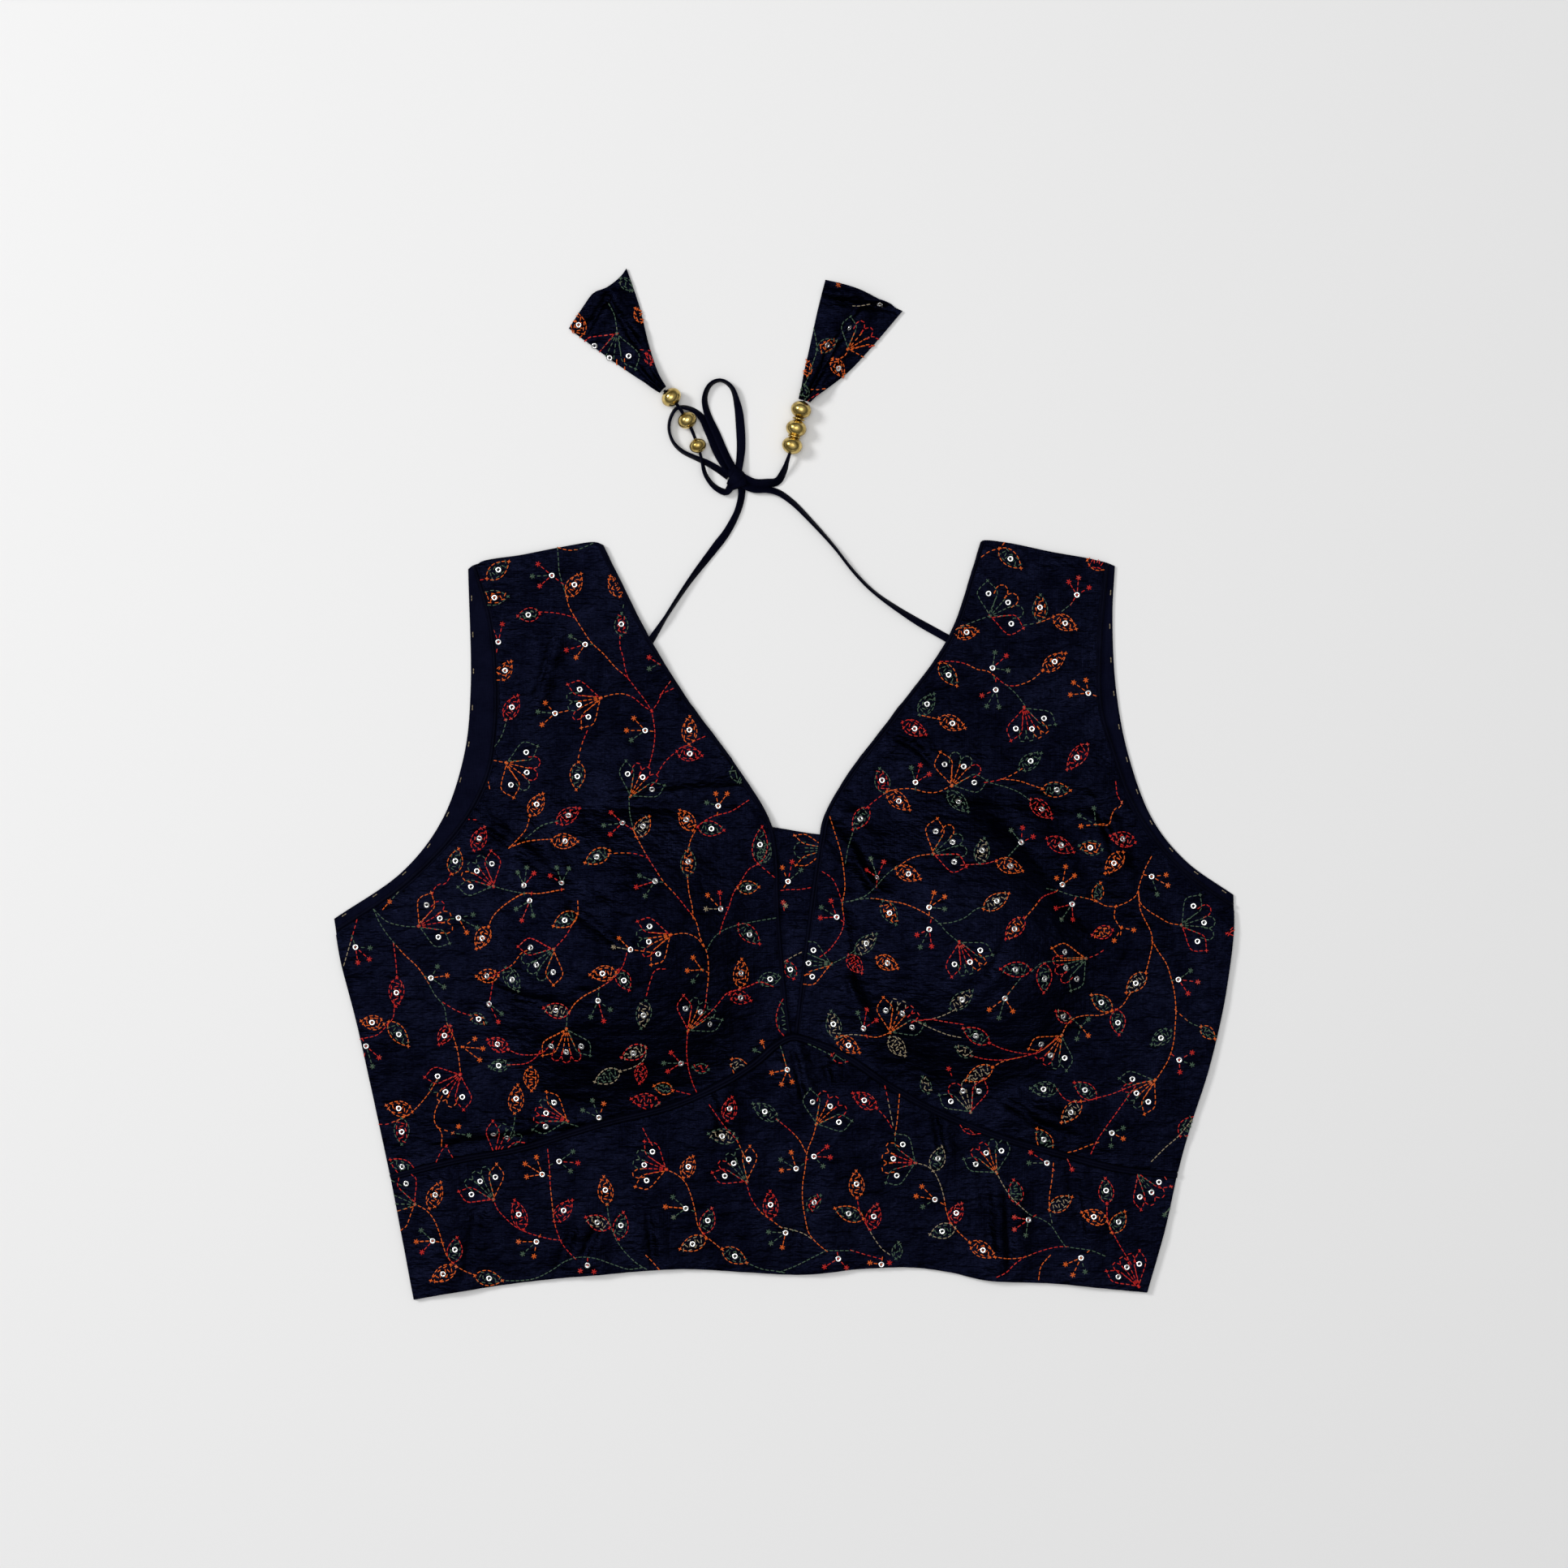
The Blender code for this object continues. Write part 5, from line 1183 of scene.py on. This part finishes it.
class Stitching:
    """Lines of thread and places of sequins for one panel, gathered before they are laid on it."""

    def __init__(self):
        self.lines, self.sequins = [], []

    def line(self, points, dye):
        self.lines.append((np.asarray(points, float), dye))

    def curve(self, points, dyes):
        """A stem: a smooth line whose thread changes along it, one letter for each stretch."""
        path = smooth_path(points, max(8, int(lengths_along(np.array(points))[-1] / STEM_STEP)))
        for number, dye in enumerate(dyes):
            first = int(number * (len(path) - 1) / len(dyes))
            last = int((number + 1) * (len(path) - 1) / len(dyes))
            self.line(path[first:last + 1], dye)

    def leaf(self, base, tip, dyes, sequin=True):
        """An almond outline with a zigzag inside, and a sequin on it."""
        base, tip = np.array(base, float), np.array(tip, float)
        along = tip - base
        length = np.hypot(*along)
        along /= length
        aside = np.array((-along[1], along[0]))
        half = min(LEAF_WIDTH, 0.62 * length) / 2
        share = np.linspace(0.0, 1.0, 12)
        bulge = half * np.sin(math.pi * share ** 0.85) ** 0.8
        spine = base + share[:, None] * length * along
        for way in (1, -1):
            self.line(spine + way * bulge[:, None] * aside, dyes[0])
        steps = np.linspace(0.14, 0.90, LEAF_ZIGZAGS if length > SMALL_LEAF else SMALL_ZIGZAGS)
        reach = half * np.sin(math.pi * steps ** 0.85) ** 0.8 * 0.86
        zigzag = [base + s * length * along + (r if i % 2 else -r) * aside
                  for i, (s, r) in enumerate(zip(steps, reach))]
        self.line(zigzag, dyes[-1])
        if sequin:
            self.sequins.append(base + 0.52 * length * along)

    def bud(self, x, y, dye):
        """A small round bud, filled with stitches that cross in its middle."""
        for angle in (0.3 + turn * math.pi / 3 for turn in range(3)):
            half = BUD_REACH * np.array((math.cos(angle), math.sin(angle)))
            self.line([(x, y) - half, (x, y) + half], dye)

    def sprig(self, fork, buds, end, dye, sequin=True):
        """Buds on short stems that meet at a fork, one more stem to the end, and a sequin."""
        for x, y, bud in buds:
            self.line((fork, (x, y)), bud)
            self.bud(x, y, bud)
        self.line((fork, end), dye)
        if sequin:
            self.sequins.append(np.array(fork))

    def flower(self, base, first, last, dyes, rays, reach=FLOWER_REACH, sequins=3):
        """A fan of pointed petals between two long outer ones, with rays from its base."""
        base = np.array(base, float)
        first, last = math.radians(first), math.radians(last)
        span = last - first

        def spoke(share, distance):
            angle = first + share * span
            return base + reach * distance * np.array((math.cos(angle), math.sin(angle)))

        for dye, outer, inner in ((dyes[0], 0.0, 0.24), (dyes[-1], 1.0, 0.76)):
            mid = (outer + inner) / 2
            bulge = [base] + [spoke(outer + (outer - mid) * 0.55 * math.sin(math.pi * s), s)
                              for s in (0.3, 0.55, 0.8)] + [spoke(mid, 1.04)]
            back = [spoke(mid, 1.04)] + [spoke(inner + (inner - mid) * 0.2 * math.sin(math.pi * s), s)
                                         for s in (0.75, 0.5)]
            back.append(base + 0.12 * (spoke(mid, 1.0) - base))
            self.line(smooth_path(bulge, 14), dye)
            self.line(smooth_path(back, 12), dye)
        edges = np.linspace(0.22, 0.78, len(dyes) - 1)
        for low, high, dye in zip(edges, edges[1:], dyes[1:-1]):
            middle = (low + high) / 2
            self.line(smooth_path([spoke(low, 0.72), spoke(low + 0.2 * (middle - low), 0.88),
                                   spoke(middle, 1.0), spoke(high - 0.2 * (high - middle), 0.88),
                                   spoke(high, 0.72)], 12), dye)
        for share in (0.26, 0.42, 0.58, 0.74):
            self.line([base, spoke(share, 0.62 if share in (0.42, 0.58) else 0.5)], rays)
        for share in np.linspace(0.12, 0.88, 3)[:int(sequins)]:
            self.sequins.append(spoke(share, 0.66))


def clipped(path, inside):
    """Stretches of the path whose points are all inside."""
    keep = inside(path[:, 0], path[:, 1])
    cuts = np.flatnonzero(np.diff(keep)) + 1
    stretches = zip(np.split(path, cuts), np.split(keep, cuts))
    return [stretch for stretch, kept in stretches if kept[0] and len(stretch) > 1]


def inside_of(outline):
    """A test of whether places are inside a closed outline."""
    x0, y0 = outline[:, 0], outline[:, 1]
    x1, y1 = np.roll(x0, -1), np.roll(y0, -1)

    def test(x, y):
        x, y = np.atleast_1d(x)[:, None], np.atleast_1d(y)[:, None]
        crossing = (y0 > y) != (y1 > y)
        where = x0 + (y - y0) * (x1 - x0) / np.where(y1 == y0, 1e-9, y1 - y0)
        return (crossing & (x < where)).sum(axis=1) % 2 == 1
    return test


def stitch_mesh():
    """One stitch: a short closed spindle of thread, along X."""
    sides = 5
    points, faces = [(-STITCH_LENGTH / 2, 0.0, 0.0), (STITCH_LENGTH / 2, 0.0, 0.0)], []
    for share in (-0.33, 0.33):
        for i in range(sides):
            angle = 2 * math.pi * (i + 0.5) / sides
            points.append((share * STITCH_LENGTH, STITCH_WIDTH / 2 * math.cos(angle),
                           STITCH_HEIGHT * math.sin(angle)))
    for i in range(sides):
        j = (i + 1) % sides
        faces += [(0, 2 + j, 2 + i), (2 + i, 2 + j, 2 + sides + j, 2 + sides + i),
                  (1, 2 + sides + i, 2 + sides + j)]
    return new_part("stitch", points, faces, THREAD)


def sequin_mesh():
    """One sequin: a thin dished ring, facing up."""
    sides = 14
    points = [(r * math.cos(2 * math.pi * i / sides), r * math.sin(2 * math.pi * i / sides), z)
              for i in range(sides) for r, z in SEQUIN_SECTION]
    return new_part("sequin", points, turned_faces(sides, len(SEQUIN_SECTION)), SEQUIN)


def new_part(name, points, faces, material):
    """A shape that Geometry Nodes repeat, kept out of the scene itself."""
    mesh = bpy.data.meshes.new(name)
    mesh.from_pydata((np.array(points) * MM).tolist(), [], faces)
    mesh.materials.append(material)
    part = bpy.data.objects.new(name, mesh)
    face_outwards(part)
    mesh.shade_smooth()
    return part


def scatter_tree(name, part, material, along_lines):
    """A tree that lays the part along lines, or on single places, and makes it real."""
    tree = bpy.data.node_groups.new(name, "GeometryNodeTree")
    tree.interface.new_socket("Geometry", in_out="INPUT", socket_type="NodeSocketGeometry")
    tree.interface.new_socket("Geometry", in_out="OUTPUT", socket_type="NodeSocketGeometry")

    def node(kind, settings=None, links=None):
        made = tree.nodes.new(kind)
        for key, value in (settings or {}).items():
            setattr(made, key, value)
        for key, value in (links or {}).items():
            if isinstance(value, bpy.types.NodeSocket):
                tree.links.new(value, made.inputs[key])
            else:
                made.inputs[key].default_value = value
        return made

    places = node("NodeGroupInput").outputs["Geometry"]
    shape = node("GeometryNodeObjectInfo", {"transform_space": "ORIGINAL"}, {"Object": part})
    if along_lines:
        lines = node("GeometryNodeMeshToCurve", None, {"Mesh": places})
        places = node("GeometryNodeResampleCurve", {"mode": "LENGTH"},
                      {"Curve": lines.outputs["Curve"], "Length": STITCH_SPACING * MM}).outputs["Curve"]
        aim, axis = node("GeometryNodeInputTangent").outputs["Tangent"], "X"
    else:
        lean = node("GeometryNodeInputNamedAttribute", {"data_type": "FLOAT_VECTOR"}, {"Name": "lean"})
        aim, axis = lean.outputs[0], "Z"
    turn = node("FunctionNodeAlignRotationToVector", {"axis": axis}, {"Vector": aim})
    laid = node("GeometryNodeInstanceOnPoints", None, {"Points": places, "Rotation": turn.outputs[0],
                                                       "Instance": shape.outputs["Geometry"]})
    real = node("GeometryNodeRealizeInstances", None, {"Geometry": laid.outputs["Instances"]})
    dressed = node("GeometryNodeSetMaterial", None, {"Geometry": real.outputs["Geometry"],
                                                     "Material": material})
    node("NodeGroupOutput", None, {"Geometry": dressed.outputs["Geometry"]})
    return tree


# What is laid on the cloth: its tree, material and slot, and the attribute that its points carry.
LAID = {
    "stitches": (scatter_tree("Stitches", stitch_mesh(), THREAD, True), THREAD, "silk",
                 "dye", "FLOAT", "value"),
    "sequins": (scatter_tree("Sequins", sequin_mesh(), SEQUIN, False), SEQUIN, "bead",
                "lean", "FLOAT_VECTOR", "vector"),
}


def grown(laid, panel, points, edges, values):
    """What is laid on these points or edges, as a plain mesh of its own on the blouse."""
    tree, material, slot, attribute, kind, field = LAID[laid]
    name = laid + "_" + panel
    carrier = new_piece(name + "_places", points, (), material, edges)
    carrier.data.attributes.new(attribute, kind, "POINT").data.foreach_set(field, np.ravel(values))
    carrier.modifiers.new("Laid", "NODES").node_group = tree
    bpy.context.view_layer.update()
    ready = carrier.evaluated_get(bpy.context.evaluated_depsgraph_get())
    mesh = bpy.data.meshes.new_from_object(ready)
    mesh.name = name
    mesh.shade_smooth()
    bpy.data.objects.remove(carrier)
    return settle(add_object(name, mesh), slot)


def embroider(name, stitching, top, inside):
    """Stitches and sequins of one panel, lying on its outer face."""
    points, edges, dyes = [], [], []
    for path, dye in stitching.lines:
        count = max(3, int(lengths_along(path)[-1] / LINE_STEP) + 1)
        for stretch in clipped(evenly(path, count), inside):
            laid = on_cloth(stretch, top) + (0.0, 0.0, STITCH_LIFT)
            edges += [(len(points) + i, len(points) + i + 1) for i in range(len(laid) - 1)]
            points += laid.tolist()
            dyes += [DYES[dye]] * len(laid)
    pieces = [grown("stitches", name, points, edges, dyes)]
    spots = np.array([place for place in stitching.sequins if inside(place[:1], place[1:])[0]])
    if len(spots):
        laid = on_cloth(spots, top)
        x, y, step = laid[:, 0], laid[:, 1], SLOPE_STEP
        slope_x = (top(x + step, y) - top(x - step, y)) / (2 * step)
        slope_y = (top(x, y + step) - top(x, y - step)) / (2 * step)
        lean = np.column_stack((-slope_x, -slope_y, np.ones(len(laid))))
        pieces.append(grown("sequins", name, laid + (0.0, 0.0, SEQUIN_LIFT), (), lean))
    return pieces


def charted(chart):
    """Stitching of a panel from its chart."""
    stitching = Stitching()
    for row in chart["leaves"].split(";"):
        base, tip, dyes = row.split()
        stitching.leaf(at(base), at(tip), dyes.strip("."), not dyes.endswith("."))
    for row in filter(None, chart["sprigs"].split(";")):
        fork, *buds, end = row.split()
        stitching.sprig(at(fork.strip(".")), [(*at(bud[:-1]), bud[-1]) for bud in buds],
                        at(end), buds[0][-1], not fork.endswith("."))
    for row in chart["flowers"].split(";"):
        base, first, last, dyes, rays, *reach = row.split()
        stitching.flower(at(base), float(first), float(last), dyes, rays, *map(float, reach))
    for row in chart["stems"].split(";"):
        dyes, *places = row.split()
        stitching.curve([at(place) for place in places], dyes)
    return stitching


def at(place):
    """A chart place in millimetres."""
    x, y = map(float, place.split(","))
    return (x - CHART_ZERO[0]) * CHART_STEP, (CHART_ZERO[1] - y) * CHART_STEP


def surface_of(places, height):
    """Height of a grid's surface at any place on it, between its nearest points."""
    flat, levels = places.reshape(-1, 2), height.ravel()

    def top(x, y):
        away = np.hypot(flat[None, :, 0] - np.ravel(x)[:, None], flat[None, :, 1] - np.ravel(y)[:, None])
        nearest = np.argsort(away, axis=1)[:, :4]
        weight = 1.0 / (np.take_along_axis(away, nearest, axis=1) + 0.05) ** 2
        return ((levels[nearest] * weight).sum(axis=1) / weight.sum(axis=1)).reshape(np.shape(x))
    return top


def rim_of(places):
    """Outline of a grid of places."""
    return np.vstack((places[0], places[1:, -1], places[-1, ::-1][1:], places[::-1, 0][1:-1]))


# The whole blouse

make_camera()
ties = {name: make_tie(name) for name in CORD_ROUTES}
make_knot()
beads = make_beads()
tassels = {}
for tail, edges in TASSELS.items():
    places, height = tassel_top(edges)
    piece, area = shell("tassel_" + tail, places, height, SHELL, SILKS["front_" + tail], "silk")
    tassels[tail] = (piece, area, places, height)

back, back_area = make_back()
panels = {}


def lay_panel(name, places, top, silk, wall=SHELL):
    """One panel's shell, kept with its area, outer face and places."""
    piece, area = shell(name, places, top, wall, SILKS[silk], "silk")
    panels[name] = (piece, area, places, top)


lay_panel("front_left", front_places(LEFT, -1), front_top, "front_left")
lay_panel("front_right", front_places(RIGHT, 1), front_top, "front_right")
seam_below = moved_aside(SEAM, -(TRIM_WIDTH / 2 + GAP))
across, down = BAND_CELLS
left = flank_between(LEFT, seam_below[0, 1], LEFT.flank[-1][1], down + 1)
right = flank_between(RIGHT, seam_below[-1, 1], RIGHT.flank[-1][1], down + 1)
places = between(left, right, cut_by_x(seam_below, left[0, 0], right[0, 0], across + 1),
                 cut_by_x(HEM_PATH, left[-1, 0], right[-1, 0], across + 1))
lay_panel("band", places, band_top, "band")
across, down = INSET_CELLS
edges = [smooth_path(INSET_EDGES[edge], cells + 1)
         for edge, cells in (("left", down), ("right", down), ("top", across), ("bottom", across))]
lay_panel("inset", between(*edges), inset_top, "band", INSET_SHELL)

for name, sign in (("left", -1), ("right", 1)):
    for trim, edge, toward in (("armhole", ARMHOLES[name], -sign), ("neck", NECKS[name], sign)):
        middle = moved_aside(edge, toward * TRIM_WIDTH / 2)
        strip(f"binding_{trim}_{name}", middle, front_height, -toward, 71 + len(trim))
piping = cut_by_x(SEAM, SEAM[0, 0], SEAM[-1, 0], FINE)
strip("piping_bust", piping, lambda x, y: np.maximum(front_height(x, y), band_height(x, y)), 1, 77)

dots = Stitching()
for side, toward in ((LEFT, 1), (RIGHT, -1)):
    edge = moved_aside(smooth_path(side.back_armhole, FINE), toward * DOT_INSET)
    for number in DOT_POINTS:
        dots.line(edge[number:number + 2], "W")
work = {"back": embroider("back", dots, lambda x, y: np.full(np.shape(x), BACK_WALL),
                          lambda x, y: x == x)}
for name, (piece, area, places, top) in panels.items():
    work[name] = embroider(name, charted(CHARTS[name]), top, inside_of(rim_of(places)))
for tail, (piece, area, places, height) in tassels.items():
    name = "tassel_" + tail
    work[name] = embroider(name, charted(CHARTS[name]), surface_of(places, height),
                           inside_of(rim_of(places)))

for name, (piece, path, length) in ties.items():
    kind, tail = name.split("_")
    on_it = beads[tail] + [tassels[tail][0]] + work["tassel_" + tail] if kind == "tail" else []
    tuple(path[0] * MM)
    round(length * MM, 4)
    [tuple(point) for point in path * MM]


def flat_size(places, ease):
    """Width and height of the flat cloth in metres, a little over those it lies in."""
    return float(np.ptp(places[..., 0])) * MM * ease, float(np.ptp(places[..., 1])) * MM * ease


for name, (piece, area, places, top) in panels.items():
    flat_size(places, PANEL_EASE)
    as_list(work[name])
for piece, area, places, height in tassels.values():
    flat_size(places, TASSEL_EASE)
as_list(work["back"])

make_floor()
make_studio()
